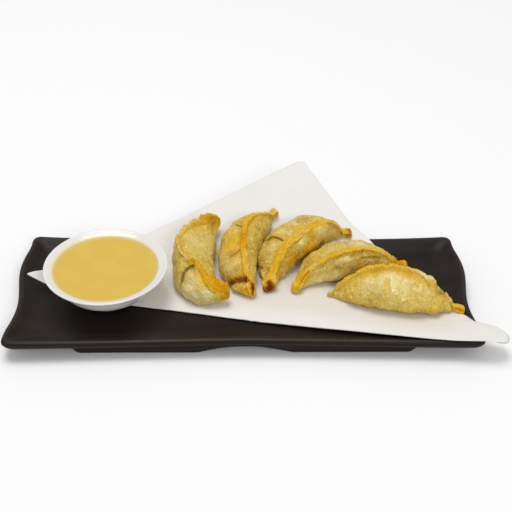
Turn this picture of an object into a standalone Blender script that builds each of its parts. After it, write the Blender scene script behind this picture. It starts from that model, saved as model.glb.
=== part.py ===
"""Five fried gyoza on a folded serving paper, laid with a bowl of dip on a long dark plate.

Metres, +Z up. The long side of the plate runs along X and the diner sits at -Y. Everything is built
about the middle of the plate's foot, and the whole serving is then set down with the middle of its
own footprint at the origin.
"""

import math
from dataclasses import dataclass

import bmesh
import bpy
import numpy as np
from mathutils import Vector

MM = 0.001
GAP = 0.3 * MM

# Plate: a long rectangle with hollowed sides and waved ends, on a low foot ring
PLATE_HALF_LENGTH = 146.4 * MM
PLATE_HALF_DEPTH = 54.2 * MM
PLATE_WAIST_HALF_DEPTH = 50.2 * MM
PLATE_WAIST_POWER = 1.6
END_WAVE = 3.4 * MM
END_WAVE_PITCH = 82 * MM
CORNER_RADIUS = 4.5 * MM
PLATE_FLOOR = 8.5 * MM
PLATE_UNDERSIDE = 4.6 * MM
RIM_HEIGHT = 12.4 * MM
CORNER_LIFT = 2.0 * MM
FOOT_HALF_LENGTH = 104 * MM
FOOT_HALF_DEPTH = 48.1 * MM
FOOT_WIDTH = 5 * MM
FOOT_DRAFT = 3 * MM
FOOT_CORNER = 6 * MM
FOOT_TOP = 6.6 * MM
ARCH_HALF_WIDTH = 29.5 * MM
ARCH_HEIGHT = 5.3 * MM

# Serving paper: a square sheet folded corner to corner, its back half lifting off the plate
PAPER_THICKNESS = 1.1 * MM
PAPER_LEFT = (-139.5 * MM, 1.5 * MM)
PAPER_FRONT_END = (153.0 * MM, -58.0 * MM)
PAPER_NOSE_END = (155.5 * MM, -41.2 * MM)
PAPER_WAIST = (144.0 * MM, -36.5 * MM)
PAPER_KNEE = (84.5 * MM, 57.5 * MM)
PAPER_APEX = (46.6 * MM, 122.5 * MM)
PAPER_APEX_WIDTH = 5.5 * MM
PAPER_COLUMNS = 24
NOSE_ROWS = 4
KNEE_ROWS = 5
APEX_ROWS = 5
LIFT_START_LEFT = (-140 * MM, 7 * MM)
LIFT_START_RIGHT = (87 * MM, 52 * MM)
LIFT_SLOPE = 0.338
LIFT_BLEND = 9 * MM
CURL_START = -108 * MM
CURL_RISE = 11.5 * MM
RIM_CLEARANCE = 0.9 * MM
RAMP_START = 24 * MM
RAMP_BLEND = 6 * MM

# Dip bowl: a round dish with a flared lip on a foot ring
BOWL_CENTRE = (-87.9 * MM, -4.0 * MM)
BOWL_SIDES = 36
BOWL_OUTSIDE = (
    (12.5, 1.6), (14.8, 0.9), (15.6, 0.0), (18.5, 0.0), (18.4, 3.4), (23.5, 5.4),
    (28.2, 8.8), (31.6, 13.4), (34.2, 17.6), (36.8, 20.6), (39.0, 22.4), (39.1, 23.1),
)
BOWL_INSIDE = (
    (38.3, 23.4), (36.4, 22.5), (33.2, 20.9), (30.9, 18.4), (28.8, 14.8), (25.6, 10.6),
    (19.5, 7.2), (10.5, 5.6),
)
DIP_LEVEL = 21.2

# Dumplings: section outlines as shares of half width and height, from the edge of the base up to the
# sealed crest, and the crest's own outline as shares of its half thickness and height
SMOOTH_SIDE = ((0.60, 0.00), (1.04, 0.06), (1.19, 0.34), (0.98, 0.68), (0.50, 0.94))
PLEATED_SIDE = ((0.62, 0.00), (1.06, 0.06), (1.22, 0.38), (1.00, 0.74), (0.50, 0.95))
CREST_SIDE = ((1.15, 0.12), (1.15, 0.55), (1.32, 0.98))
CREST_TOP = 1.12
CREST_HALF_THICKNESS = 1.3
NECK_RADIUS = 1.35
EAR_SWELL = 0.75
TUCK_DEPTH = 2.2
TUCK_REACH = 0.30
TUCK_ARCH = 0.12
RESTING_GAP = 0.75
DUMPLING_STATIONS = 29
DUMPLING_SECTION_POINTS = 18


# ---------------------------------------------------------------- shared helpers


def clear_scene():
    for obj in list(bpy.data.objects):
        bpy.data.objects.remove(obj)


def make_material(name, colour, roughness, metallic=0.0):
    material = bpy.data.materials.new(name)
    material.use_nodes = True
    shader = material.node_tree.nodes["Principled BSDF"]
    shader.inputs["Base Color"].default_value = (*colour, 1.0)
    shader.inputs["Roughness"].default_value = roughness
    shader.inputs["Metallic"].default_value = metallic
    return material


def add_object(name, bm, material, smooth_degrees=35):
    bmesh.ops.recalc_face_normals(bm, faces=bm.faces)
    mesh = bpy.data.meshes.new(name)
    bm.to_mesh(mesh)
    bm.free()
    mesh.shade_smooth()
    mesh.set_sharp_from_angle(angle=math.radians(smooth_degrees))
    mesh.materials.append(material)
    obj = bpy.data.objects.new(name, mesh)
    bpy.context.scene.collection.objects.link(obj)
    return obj


def loft(bm, loops, close_start=True, close_end=True):
    """Joins closed loops of equal length into a skin, and caps its two ends."""
    rings = [[bm.verts.new(point) for point in loop] for loop in loops]
    count = len(rings[0])
    for lower, upper in zip(rings, rings[1:]):
        for i in range(count):
            j = (i + 1) % count
            bm.faces.new((lower[i], lower[j], upper[j], upper[i]))
    if close_start:
        bm.faces.new(rings[0])
    if close_end:
        bm.faces.new(rings[-1])
    return rings


def smoothstep(value):
    t = np.clip(value, 0.0, 1.0)
    return t * t * (3.0 - 2.0 * t)


# ---------------------------------------------------------------- plate


def end_reach(b):
    """Half length of the plate at share b of its half depth: a wave that fades at the corners."""
    y = b * PLATE_HALF_DEPTH
    fade = np.clip(3.0 * (1.0 - np.abs(b)), 0.0, 1.0)
    return PLATE_HALF_LENGTH + END_WAVE * np.sin(2 * np.pi * (y + 1 * MM) / END_WAVE_PITCH) * fade


def side_reach(a):
    """Half depth of the plate at share a of its half length: the long sides are hollowed."""
    flare = np.abs(a) ** PLATE_WAIST_POWER
    return PLATE_WAIST_HALF_DEPTH + (PLATE_HALF_DEPTH - PLATE_WAIST_HALF_DEPTH) * flare


def rounded_rectangle(half_x, half_y, radius_x, radius_y, along_x, along_y, per_corner):
    """Points round a rectangle with elliptic corners, starting at the right end of the front side."""
    points = []
    corners = ((1, -1, -90), (1, 1, 0), (-1, 1, 90), (-1, -1, 180))
    for index, (sx, sy, start) in enumerate(corners):
        centre = (sx * (half_x - radius_x), sy * (half_y - radius_y))
        for k in range(per_corner + 1):
            angle = math.radians(start + 90 * k / per_corner)
            points.append((centre[0] + radius_x * math.cos(angle), centre[1] + radius_y * math.sin(angle)))
        nx, ny, _ = corners[(index + 1) % 4]
        target = (nx * (half_x - radius_x), ny * (half_y - radius_y))
        steps = along_y if index % 2 == 0 else along_x
        edge = (sx * half_x, 0) if index % 2 == 0 else (0, sy * half_y)
        for k in range(1, steps):
            t = k / steps
            x = edge[0] or centre[0] + (target[0] - centre[0]) * t
            y = edge[1] or centre[1] + (target[1] - centre[1]) * t
            points.append((x, y))
    return points


def plate_point(a, b, z, lift):
    corner = (abs(a) * abs(b)) ** 5
    return (a * float(end_reach(b)), b * float(side_reach(a)), z + lift * CORNER_LIFT * corner)


def plate_body():
    """The dish itself: closed loops from the flat underside, round the rim, to the flat floor."""
    shape = rounded_rectangle(
        1, 1, CORNER_RADIUS / PLATE_HALF_LENGTH, CORNER_RADIUS / PLATE_HALF_DEPTH, 14, 10, 3
    )
    under, rim, floor = PLATE_UNDERSIDE, RIM_HEIGHT, PLATE_FLOOR
    profile = (
        (12.0 * MM, under, 0.0), (5.0 * MM, under + 0.7 * MM, 0.2), (1.2 * MM, rim - 4.2 * MM, 0.5),
        (0.0, rim - 2.4 * MM, 0.8), (0.6 * MM, rim - 0.6 * MM, 1.0), (2.2 * MM, rim, 1.0),
        (5.0 * MM, rim - 0.7 * MM, 0.9), (9.5 * MM, rim - 2.4 * MM, 0.6),
        (14.5 * MM, floor + 0.35 * MM, 0.2), (20.0 * MM, floor, 0.0),
    )
    loops = []
    for inset, z, lift in profile:
        ka, kb = 1 - inset / PLATE_HALF_LENGTH, 1 - inset / PLATE_HALF_DEPTH
        loops.append([plate_point(a * ka, b * kb, z, lift) for a, b in shape])
    bm = bmesh.new()
    loft(bm, loops)
    return bm


def arch_height(x):
    """How far the foot is cut away from below at x: a shallow arch in the middle."""
    share = max(0.0, 1 - (x / ARCH_HALF_WIDTH) ** 2)
    return ARCH_HEIGHT * share**1.15


def foot_ring():
    """A low ring under the plate, drawn in towards its bottom, arched at the front and the back."""
    levels = ((0.0, 0.0), (0.0, 1.0), (1.0, 1.0), (1.0, 0.0))
    loops = []
    for inner, high in levels:
        grow = FOOT_DRAFT * high * (1 if not inner else 0)
        inset = FOOT_WIDTH * inner
        shape = rounded_rectangle(
            FOOT_HALF_LENGTH + grow - inset, FOOT_HALF_DEPTH + grow / 3 - inset,
            FOOT_CORNER - inset / 2, FOOT_CORNER - inset / 2, 28, 6, 2,
        )
        loops.append([(x, y, FOOT_TOP if high else arch_height(x)) for x, y in shape])
    bm = bmesh.new()
    rings = loft(bm, loops, close_start=False, close_end=False)
    count = len(rings[0])
    for i in range(count):
        j = (i + 1) % count
        bm.faces.new((rings[-1][i], rings[-1][j], rings[0][j], rings[0][i]))
    return bm


def build_plate(material):
    plate = add_object("plate", plate_body(), material)
    foot = add_object("foot_cutter", foot_ring(), material)
    foot.hide_render = True
    foot.display_type = "WIRE"
    union = plate.modifiers.new("Foot", "BOOLEAN")
    union.operation = "UNION"
    union.object = foot
    return [plate, foot]


def rim_inset(x, y):
    """How far a place lies inside the plate's outline, and how far it is into one of its corners."""
    b = y / PLATE_HALF_DEPTH
    a = x / end_reach(np.clip(b, -1, 1))
    b = y / side_reach(np.clip(a, -1, 1))
    inset = np.minimum((1 - np.abs(a)) * PLATE_HALF_LENGTH, (1 - np.abs(b)) * PLATE_HALF_DEPTH)
    return inset, (np.clip(np.abs(a), 0, 1) * np.clip(np.abs(b), 0, 1)) ** 5


# ---------------------------------------------------------------- serving paper


def soft_ramp(distance, blend):
    """Zero up to 0 and rising almost one for one beyond it, rounded over the blend length."""
    return np.maximum(0.5 * (distance + np.sqrt(distance**2 + blend**2) - blend), 0.0)


def paper_height(x, y):
    """Height of the paper's upper face: flat, then up over the rim, and lifting past a slanting crease."""
    inset, corner = rim_inset(x, y)
    climb = soft_ramp(RAMP_START - inset, RAMP_BLEND) / soft_ramp(RAMP_START, RAMP_BLEND)
    over_rim = (RIM_HEIGHT - PLATE_FLOOR + RIM_CLEARANCE) * np.clip(climb, 0, 1) + CORNER_LIFT * corner
    (x0, y0), (x1, y1) = LIFT_START_LEFT, LIFT_START_RIGHT
    past = ((y - y0) * (x1 - x0) - (x - x0) * (y1 - y0)) / math.hypot(x1 - x0, y1 - y0)
    lifted = LIFT_SLOPE * soft_ramp(past, LIFT_BLEND)
    curl = np.clip((CURL_START - x) / (CURL_START - PAPER_LEFT[0]), 0.0, 1.3)
    return PLATE_FLOOR + 2 * GAP + PAPER_THICKNESS + np.maximum(over_rim, lifted) + CURL_RISE * curl**2


def paper_rows():
    """Left and right ends of the rows that cross the sheet, from its front fold to its back corner."""
    front, nose = Vector(PAPER_FRONT_END), Vector(PAPER_NOSE_END)
    waist, knee, apex = Vector(PAPER_WAIST), Vector(PAPER_KNEE), Vector(PAPER_APEX)
    middle, radius = (front + nose) / 2, (nose - front) / 2
    outward = Vector((radius.y, -radius.x))
    rights = []
    for k in range(NOSE_ROWS + 1):
        turn = math.pi * k / NOSE_ROWS
        rights.append(middle - radius * math.cos(turn) + outward * math.sin(turn))
    rights += [waist.lerp(knee, k / KNEE_ROWS) for k in range(KNEE_ROWS + 1)]
    rights += [knee.lerp(apex, k / APEX_ROWS) for k in range(1, APEX_ROWS + 1)]
    left, left_end = Vector(PAPER_LEFT), apex - Vector((PAPER_APEX_WIDTH, 0))
    return [(left.lerp(left_end, k / (len(rights) - 1)), right) for k, right in enumerate(rights)]


def build_paper(material):
    bm = bmesh.new()
    rows = []
    for left, right in paper_rows():
        places = [left.lerp(right, k / PAPER_COLUMNS) for k in range(PAPER_COLUMNS + 1)]
        rows.append([bm.verts.new((p.x, p.y, float(paper_height(p.x, p.y)))) for p in places])
    for lower, upper in zip(rows, rows[1:]):
        for k in range(PAPER_COLUMNS):
            bm.faces.new((lower[k], lower[k + 1], upper[k + 1], upper[k]))
    bmesh.ops.triangulate(bm, faces=bm.faces)
    paper = add_object("serving_paper", bm, material, smooth_degrees=60)
    if paper.data.polygons[0].normal.z < 0:
        paper.data.flip_normals()
    shell = paper.modifiers.new("Folded sheet", "SOLIDIFY")
    shell.thickness = PAPER_THICKNESS
    shell.offset = -1
    return [paper]


# ---------------------------------------------------------------- dip bowl


def turned(profile, sides, centre, base):
    """Closed solid of revolution: the profile runs from the axis, out and back to the axis."""
    loops = []
    for radius, height in profile:
        loop = []
        for k in range(sides):
            angle = 2 * math.pi * k / sides
            x = centre[0] + radius * MM * math.cos(angle)
            y = centre[1] + radius * MM * math.sin(angle)
            loop.append((x, y, base + height * MM))
        loops.append(loop)
    bm = bmesh.new()
    loft(bm, loops)
    return bm


def inside_radius(height):
    """Radius of the bowl's inner wall at a height above its foot, in millimetres."""
    radii, heights = zip(*reversed(BOWL_INSIDE))
    return float(np.interp(height, heights, radii))


def bowl_base():
    return PLATE_FLOOR + 3 * GAP + PAPER_THICKNESS


def build_bowl(material):
    skin = turned(BOWL_OUTSIDE + BOWL_INSIDE, BOWL_SIDES, BOWL_CENTRE, bowl_base())
    return [add_object("dip_bowl", skin, material)]


def build_dip(material):
    """The dip fills the bowl to its level, a hair clear of the wall."""
    clearance = GAP / MM
    levels = [height for _, height in reversed(BOWL_INSIDE) if height < DIP_LEVEL - 1]
    profile = [(radius - clearance, height + clearance) for radius, height in reversed(BOWL_INSIDE)
               if height in levels]
    profile.append((inside_radius(DIP_LEVEL) - 1.6 * clearance, DIP_LEVEL))
    profile.append((inside_radius(DIP_LEVEL) - 6 * clearance, DIP_LEVEL - 0.5 * clearance))
    return [add_object("dip_sauce", turned(profile, BOWL_SIDES, BOWL_CENTRE, bowl_base()), material)]


# ---------------------------------------------------------------- dumplings


@dataclass(frozen=True)
class Dumpling:
    """One gyoza: a parcel bent to one side, with a sealed crest and a pinched ear at each end.

    Lengths are in millimetres and angles in degrees. The pleated side is the outer side of the bend.
    Stations run from -1 at the near ear to 1 at the far ear.
    """

    name: str
    near: tuple  # plan place of the near ear
    far: tuple  # plan place of the far ear
    bend: float  # how far each half turns away from the straight line between the ears
    pleated: float  # half width on the pleated side
    smooth: float  # half width on the smooth side
    height: float  # height of the filled body
    crest: float  # height of the sealed crest above it
    lean: float  # how far the crest leans to the pleated side
    twist: float  # how much more it leans at the far end than in the middle
    near_ear: tuple  # sideways and upward bend of the near ear, and its swelling
    far_ear: tuple  # the same for the far ear
    fullest: float  # station where the parcel is fullest
    near_neck: float  # share of the near half that is filled
    far_neck: float  # share of the far half that is filled
    tucks: tuple  # stations where the folded edges of the pleats meet the crest

    def fullness(self, s, power, root):
        """How full the parcel is at each station, from 0 at its necks to 1 at its fullest."""
        q = s - self.fullest * (1 - s * s)
        t = np.clip(np.where(q < 0, q / self.near_neck, q / self.far_neck), -1, 1)
        return (1 - np.abs(t) ** power) ** root

    def section_controls(self, s):
        """Control points of the closed section at each station: sideways and up, in millimetres."""
        away = np.abs(s)
        tip = np.sqrt(np.clip(1 - np.clip((away - 0.95) / 0.052, 0, 1) ** 2, 0.03, 1))
        size = np.where(s < 0, self.near_ear[2], self.far_ear[2])
        stub = (NECK_RADIUS + EAR_SWELL * size * smoothstep((away - 0.82) / 0.12)) * tip
        smooth_width = self.smooth * self.fullness(s, 2.5, 1.05) + stub
        pleated_width = self.pleated * self.fullness(s, 2.5, 1.05) + stub
        body = self.height * self.fullness(s, 2.3, 0.95) + 1.5 * stub
        crest = self.crest * tip * (1 - 0.4 * s**2)
        half_crest = CREST_HALF_THICKNESS * tip * (1 + 0.3 * size * smoothstep((away - 0.78) / 0.18))
        across, up = [0 * s], [0 * s]
        for share_out, share_up in SMOOTH_SIDE:
            across.append(-share_out * smooth_width)
            up.append(share_up * body)
        for share_out, share_up in CREST_SIDE:
            across.append(-share_out * half_crest)
            up.append(body + share_up * crest)
        across.append(0 * s)
        up.append(body + CREST_TOP * crest)
        for share_out, share_up in reversed(CREST_SIDE):
            across.append(share_out * half_crest)
            up.append(body + share_up * crest)
        for share_out, share_up in reversed(PLEATED_SIDE):
            across.append(share_out * pleated_width)
            up.append(share_up * body)
        return np.hstack(across), np.hstack(up), body

    def tuck_relief(self, s, rise):
        """How far the pleated skin sinks behind each folded edge; the layers step down to both ends."""
        arch = TUCK_ARCH * (1 - ((rise - 0.55) / 0.45) ** 2)
        relief = np.zeros_like(rise)
        for tuck in self.tucks:
            side = 1 if tuck > 0 else -1
            beyond = side * (s - tuck) - arch
            relief = relief - smoothstep(beyond / 0.045) * np.clip(1 - beyond / TUCK_REACH, 0, 1) ** 1.3
        return relief

    def skin(self, stations, points):
        """Points of the skin as it lies on the paper, stations x points x 3, in millimetres."""
        even = np.linspace(-1, 1, stations + 2)[1:-1]
        s = (0.45 * even + 0.55 * np.sin(even * np.pi / 2))[:, None]
        across, up, body = self.section_controls(s)
        across, up = closed_spline(across, points), closed_spline(up, points)
        rise = np.clip(up / (self.height + self.crest), 0, 1.2)
        outer = smoothstep((across + 1.0) / 3.0) * smoothstep(rise / 0.35)
        across = across + TUCK_DEPTH * self.tuck_relief(s, rise) * outer
        across = across + (self.lean + self.twist * s) * self.fullness(s, 2.5, 1.05) * rise**1.4
        sway, lift = 0 * s, 0 * s
        for side, (ear_sway, ear_lift, _) in ((-1, self.near_ear), (1, self.far_ear)):
            turn = smoothstep((side * s - 0.62) / 0.38)
            sway, lift = sway + ear_sway * turn, lift + ear_lift * turn
        x, y = self.bent(s, across + sway)
        middle_x, middle_y = self.bent(s, sway)
        moulded = np.clip(up / (0.5 * body), 0, 1)
        middle_ground = paper_height(middle_x * MM, middle_y * MM)
        ground = paper_height(x * MM, y * MM) * (1 - moulded) + middle_ground * moulded
        return np.stack([x, y, ground / MM + RESTING_GAP + up + lift], axis=-1)

    def bent(self, s, across):
        """Plan place of points at station s and so far across, along the arc from ear to ear."""
        near, far = np.array(self.near), np.array(self.far)
        half = np.linalg.norm(far - near) / 2
        along = (far - near) / (2 * half)
        outward = np.array((-along[1], along[0]))
        turn = math.radians(self.bend)
        radius = half / math.sin(turn)
        centre = (near + far) / 2 - outward * radius * math.cos(turn)
        reach = radius + across
        ray_out, ray_along = np.cos(turn * s), np.sin(turn * s)
        x = centre[0] + (outward[0] * ray_out + along[0] * ray_along) * reach
        y = centre[1] + (outward[1] * ray_out + along[1] * ray_along) * reach
        return x, y

    def build(self, material):
        skin = self.skin(DUMPLING_STATIONS, DUMPLING_SECTION_POINTS) * MM
        bm = bmesh.new()
        loft(bm, [[tuple(point) for point in ring] for ring in skin.tolist()])
        return add_object(self.name, bm, material, smooth_degrees=50)


def closed_spline(controls, points):
    """Uniform cubic B-spline round each row of control values, sampled at even steps."""
    count = controls.shape[1]
    where = np.linspace(0, count, points, endpoint=False)
    index = where.astype(int)
    t = where - index
    weights = ((1 - t) ** 3, 3 * t**3 - 6 * t**2 + 4, -3 * t**3 + 3 * t**2 + 3 * t + 1, t**3)
    return sum(weight * controls[:, (index + k - 1) % count] for k, weight in enumerate(weights)) / 6


DUMPLINGS = (
    Dumpling(
        "gyoza_1", near=(-12, -22), far=(-14.5, 53), bend=68, pleated=8, smooth=15, height=20, crest=7.5,
        lean=3.5, twist=7.5, near_ear=(-7, 3, 1.6), far_ear=(6, 3, 2.6),
        fullest=0.0, near_neck=0.98, far_neck=1.0, tucks=(-0.36, 0.1, 0.45),
    ),
    Dumpling(
        "gyoza_2", near=(4.5, -13.5), far=(26, 70), bend=43, pleated=12.5, smooth=8.5, height=19, crest=4.5,
        lean=-0.5, twist=4, near_ear=(-1, 1, 1), far_ear=(3.5, 1.5, 1.6),
        fullest=-0.04, near_neck=0.98, far_neck=0.88, tucks=(-0.82, -0.4, 0.22),
    ),
    Dumpling(
        "gyoza_3", near=(21, -8.5), far=(76.5, 54), bend=55, pleated=15.5, smooth=10.5, height=18, crest=4.5,
        lean=-9.5, twist=-2.5, near_ear=(4, 0, 1.5), far_ear=(-1, -1, 1.4),
        fullest=0.09, near_neck=0.92, far_neck=0.83, tucks=(-0.3, 0.2, 0.55),
    ),
    Dumpling(
        "gyoza_4", near=(32.5, -5.5), far=(108.5, 15), bend=45, pleated=15.5, smooth=11, height=19, crest=5,
        lean=-10.5, twist=1.5, near_ear=(0.5, 0, 1), far_ear=(3.5, 1, 1),
        fullest=0.1, near_neck=0.88, far_neck=0.82, tucks=(-0.4, 0.15, 0.5),
    ),
    Dumpling(
        "gyoza_5", near=(54, -8.5), far=(139.5, -25.5), bend=16, pleated=13.5, smooth=12.5, height=19.5,
        crest=5, lean=2, twist=-1.5, near_ear=(1.5, 0, 1), far_ear=(-1, 0, 1.3),
        fullest=0.0, near_neck=0.9, far_neck=0.84, tucks=(-0.5, -0.12, 0.25, 0.58),
    ),
)


# ---------------------------------------------------------------- the whole serving


def set_down(objects):
    """Moves the serving so that the middle of its footprint stands at the origin."""
    serving = bpy.data.objects.new("serving", None)
    bpy.context.scene.collection.objects.link(serving)
    bpy.context.view_layer.update()
    graph = bpy.context.evaluated_depsgraph_get()
    shown = [obj.evaluated_get(graph) for obj in objects if not obj.hide_render]
    corners = [Vector(corner) for obj in shown for corner in obj.bound_box]
    middle = [(min(c[i] for c in corners) + max(c[i] for c in corners)) / 2 for i in range(2)]
    for obj in objects:
        obj.parent = serving
    serving.location = (-middle[0], -middle[1], 0)


def main():
    clear_scene()
    glaze = make_material("dark_glaze", (0.025, 0.019, 0.016), 0.4)
    paper = make_material("white_paper", (0.82, 0.80, 0.76), 0.9)
    porcelain = make_material("white_porcelain", (0.85, 0.84, 0.80), 0.15)
    dip = make_material("mustard_dip", (0.74, 0.50, 0.10), 0.3)
    dough = make_material("fried_dough", (0.62, 0.42, 0.12), 0.45)
    objects = build_plate(glaze) + build_paper(paper) + build_bowl(porcelain) + build_dip(dip)
    objects += [dumpling.build(dough) for dumpling in DUMPLINGS]
    set_down(objects)


main()
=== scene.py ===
"""Looks for five fried gyoza on a folded serving paper, with a bowl of dip, on a long dark plate.

Shapes are worked out in millimetres in the plate's own frame, with the middle of its foot at the
origin and +Z up. A mesh gets them in metres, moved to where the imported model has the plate.
"""

import itertools
import logging
import math
from dataclasses import dataclass, field
from enum import Enum

import bpy
import numpy as np
from mathutils import Matrix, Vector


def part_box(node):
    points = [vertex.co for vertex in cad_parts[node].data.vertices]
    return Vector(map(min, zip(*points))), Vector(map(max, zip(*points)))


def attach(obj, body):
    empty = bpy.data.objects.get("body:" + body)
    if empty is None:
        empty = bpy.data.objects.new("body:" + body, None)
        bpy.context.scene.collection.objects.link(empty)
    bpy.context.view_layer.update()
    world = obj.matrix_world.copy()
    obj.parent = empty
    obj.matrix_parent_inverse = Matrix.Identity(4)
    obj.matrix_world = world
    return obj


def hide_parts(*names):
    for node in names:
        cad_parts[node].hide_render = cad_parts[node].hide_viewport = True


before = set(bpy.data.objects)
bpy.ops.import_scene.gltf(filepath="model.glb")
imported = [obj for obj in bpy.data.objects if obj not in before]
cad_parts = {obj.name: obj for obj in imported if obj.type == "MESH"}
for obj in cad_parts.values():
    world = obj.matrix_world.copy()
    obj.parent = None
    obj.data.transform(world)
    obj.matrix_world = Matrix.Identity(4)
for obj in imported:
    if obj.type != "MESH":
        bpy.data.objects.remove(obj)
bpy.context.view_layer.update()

MM = 0.001
BODY = "root"
NOISE_SHIFT = 31.7  # moves the noise's lattice off the origin, in cells
NOISE_GAIN = 1.7  # carries gradient noise to about -1 to 1
BLISTER_SHIFT = 57.3
LOG = logging.getLogger("gyoza")
Array = np.ndarray
Colour = tuple[float, float, float]


# ---------------------------------------------------------------- shapes: shared functions


def smoothstep(value: Array) -> Array:
    """0 below 0, 1 above 1, and 3t^2 - 2t^3 between."""
    t = np.clip(value, 0.0, 1.0)
    return t * t * (3.0 - 2.0 * t)


def swell(value: Array, centre: float, reach: float) -> Array:
    """A bell of height 1 round the centre: exp(-((value - centre) / reach)^2)."""
    return np.exp(-(((value - centre) / reach) ** 2))


def soft_ramp(distance: Array, blend: float) -> Array:
    """0 up to 0 and then almost one for one, rounded by a hyperbola over the blend length."""
    return np.maximum(0.5 * (distance + np.sqrt(distance**2 + blend**2) - blend), 0.0)


def cell_numbers(cell: Array, seed: int) -> Array:
    """Even random numbers from 0 to 1: a 32-bit mix of each cell's three whole-number indices.

    Args:
        cell: The cells, with the last axis holding their indices.
        seed: Which random lattice.

    Returns:
        One number for each cell.
    """
    mixed = cell[..., 0] * 374761393 + cell[..., 1] * 668265263 + cell[..., 2] * 1274126177 + seed * 144665
    mixed &= 0xFFFFFFFF
    mixed = ((mixed ^ (mixed >> 13)) * 1274126177) & 0xFFFFFFFF
    return (mixed ^ (mixed >> 16)) / 4294967295.0


def noise(points: Array, size: float, seed: int) -> Array:
    """Smooth random relief, about -1 to 1, with lumps of one size.

    Gradient noise: each corner of a cubic lattice has a random slope, and a point takes the eight
    corners' slopes times its distances from them, blended by 6t^5 - 15t^4 + 10t^3.

    Args:
        points: Places, with the last axis x, y, z.
        size: Lattice spacing, in the points' units.
        seed: Which random lattice.

    Returns:
        One value for each point.
    """
    place = points / size + NOISE_SHIFT
    cell = np.floor(place).astype(np.int64)
    part = place - cell
    fade = part**3 * (part * (part * 6 - 15) + 10)
    total = np.zeros(points.shape[:-1])
    for corner in itertools.product((0, 1), repeat=3):
        at = cell + np.array(corner)
        away = part - np.array(corner)
        weight = np.prod(np.where(np.array(corner) == 1, fade, 1 - fade), axis=-1)
        slope = np.stack([cell_numbers(at, seed + 101 * axis) * 2 - 1 for axis in range(3)], axis=-1)
        total += weight * (slope * away).sum(-1)
    return total * NOISE_GAIN


def blisters(points: Array, size: float, seed: int) -> Array:
    """Round blisters from 0 to 1, about a cell apart and of uneven size.

    Each cell of a cubic lattice has one centre at a random place and a random radius, and a point
    gets the tallest dome 1 - (distance / radius)^2 of the 27 cells round it.

    Args:
        points: Places, with the last axis x, y, z.
        size: Lattice spacing, in the points' units.
        seed: Which random lattice.

    Returns:
        The dome's height at each point.
    """
    place = points / size + BLISTER_SHIFT
    cell = np.floor(place).astype(np.int64)
    tallest = np.zeros(points.shape[:-1])
    for shift in itertools.product((-1, 0, 1), repeat=3):
        at = cell + np.array(shift)
        centre = at + np.stack([cell_numbers(at, seed + 101 * axis) for axis in range(3)], axis=-1)
        radius = 0.12 + 0.5 * cell_numbers(at, seed + 977) ** 1.5
        away = ((place - centre) ** 2).sum(-1) / radius**2
        tallest = np.maximum(tallest, np.clip(1 - away, 0, 1) * (0.35 + radius))
    return tallest


def outward_normals(points: Array) -> Array:
    """Unit normals of a tube-like grid: the cross product of its two directions, turned outwards.

    Args:
        points: Rows x columns x 3, whose last column joins the first.

    Returns:
        One normal for each point.
    """
    normal = np.cross(np.gradient(points, axis=0), np.roll(points, -1, 1) - np.roll(points, 1, 1))
    normal /= np.maximum(np.linalg.norm(normal, axis=-1, keepdims=True), 1e-9)
    centre = points.mean(axis=1, keepdims=True)
    return normal if ((points - centre) * normal).sum(-1).mean() >= 0 else -normal


def closed_spline(controls: Array, places: Array) -> Array:
    """Uniform cubic B-spline round each row of control values.

    Args:
        controls: Rows of control values.
        places: Where to take it, counted in controls from the first.

    Returns:
        The spline's values, rows x places.
    """
    count = controls.shape[1]
    index = np.floor(places).astype(int)
    t = places - index
    weights = ((1 - t) ** 3, 3 * t**3 - 6 * t**2 + 4, -3 * t**3 + 3 * t**2 + 3 * t + 1, t**3)
    return sum(weight * controls[:, (index + k - 1) % count] for k, weight in enumerate(weights)) / 6


def curve_through(points: Array, samples: int) -> Array:
    """Smooth curve through the points, sampled evenly along its length.

    Cubic Hermite pieces over the chord lengths, whose slope at each point is the one of the parabola
    through it and its two neighbours.

    Args:
        points: The points, in order.
        samples: How many places to return.

    Returns:
        Places on the curve, samples x the points' own width.
    """
    points = np.asarray(points, float)
    chord = np.linalg.norm(np.diff(points, axis=0), axis=1)[:, None]
    slope = np.diff(points, axis=0) / chord
    inner = (slope[:-1] * chord[1:] + slope[1:] * chord[:-1]) / (chord[:-1] + chord[1:])
    slopes = np.vstack([slope[:1], inner, slope[-1:]])
    dense = np.linspace(0, len(chord) - 1e-9, 40 * len(chord))
    index = dense.astype(int)
    t = (dense - index)[:, None]
    h = chord[index]
    curve = (
        (2 * t**3 - 3 * t**2 + 1) * points[index] + (t**3 - 2 * t**2 + t) * h * slopes[index]
        + (3 * t**2 - 2 * t**3) * points[index + 1] + (t**3 - t**2) * h * slopes[index + 1]
    )
    along = np.concatenate([[0], np.cumsum(np.linalg.norm(np.diff(curve, axis=0), axis=1))])
    at = np.linspace(0, along[-1], samples)
    return np.stack([np.interp(at, along, curve[:, axis]) for axis in range(curve.shape[1])], axis=1)


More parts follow.
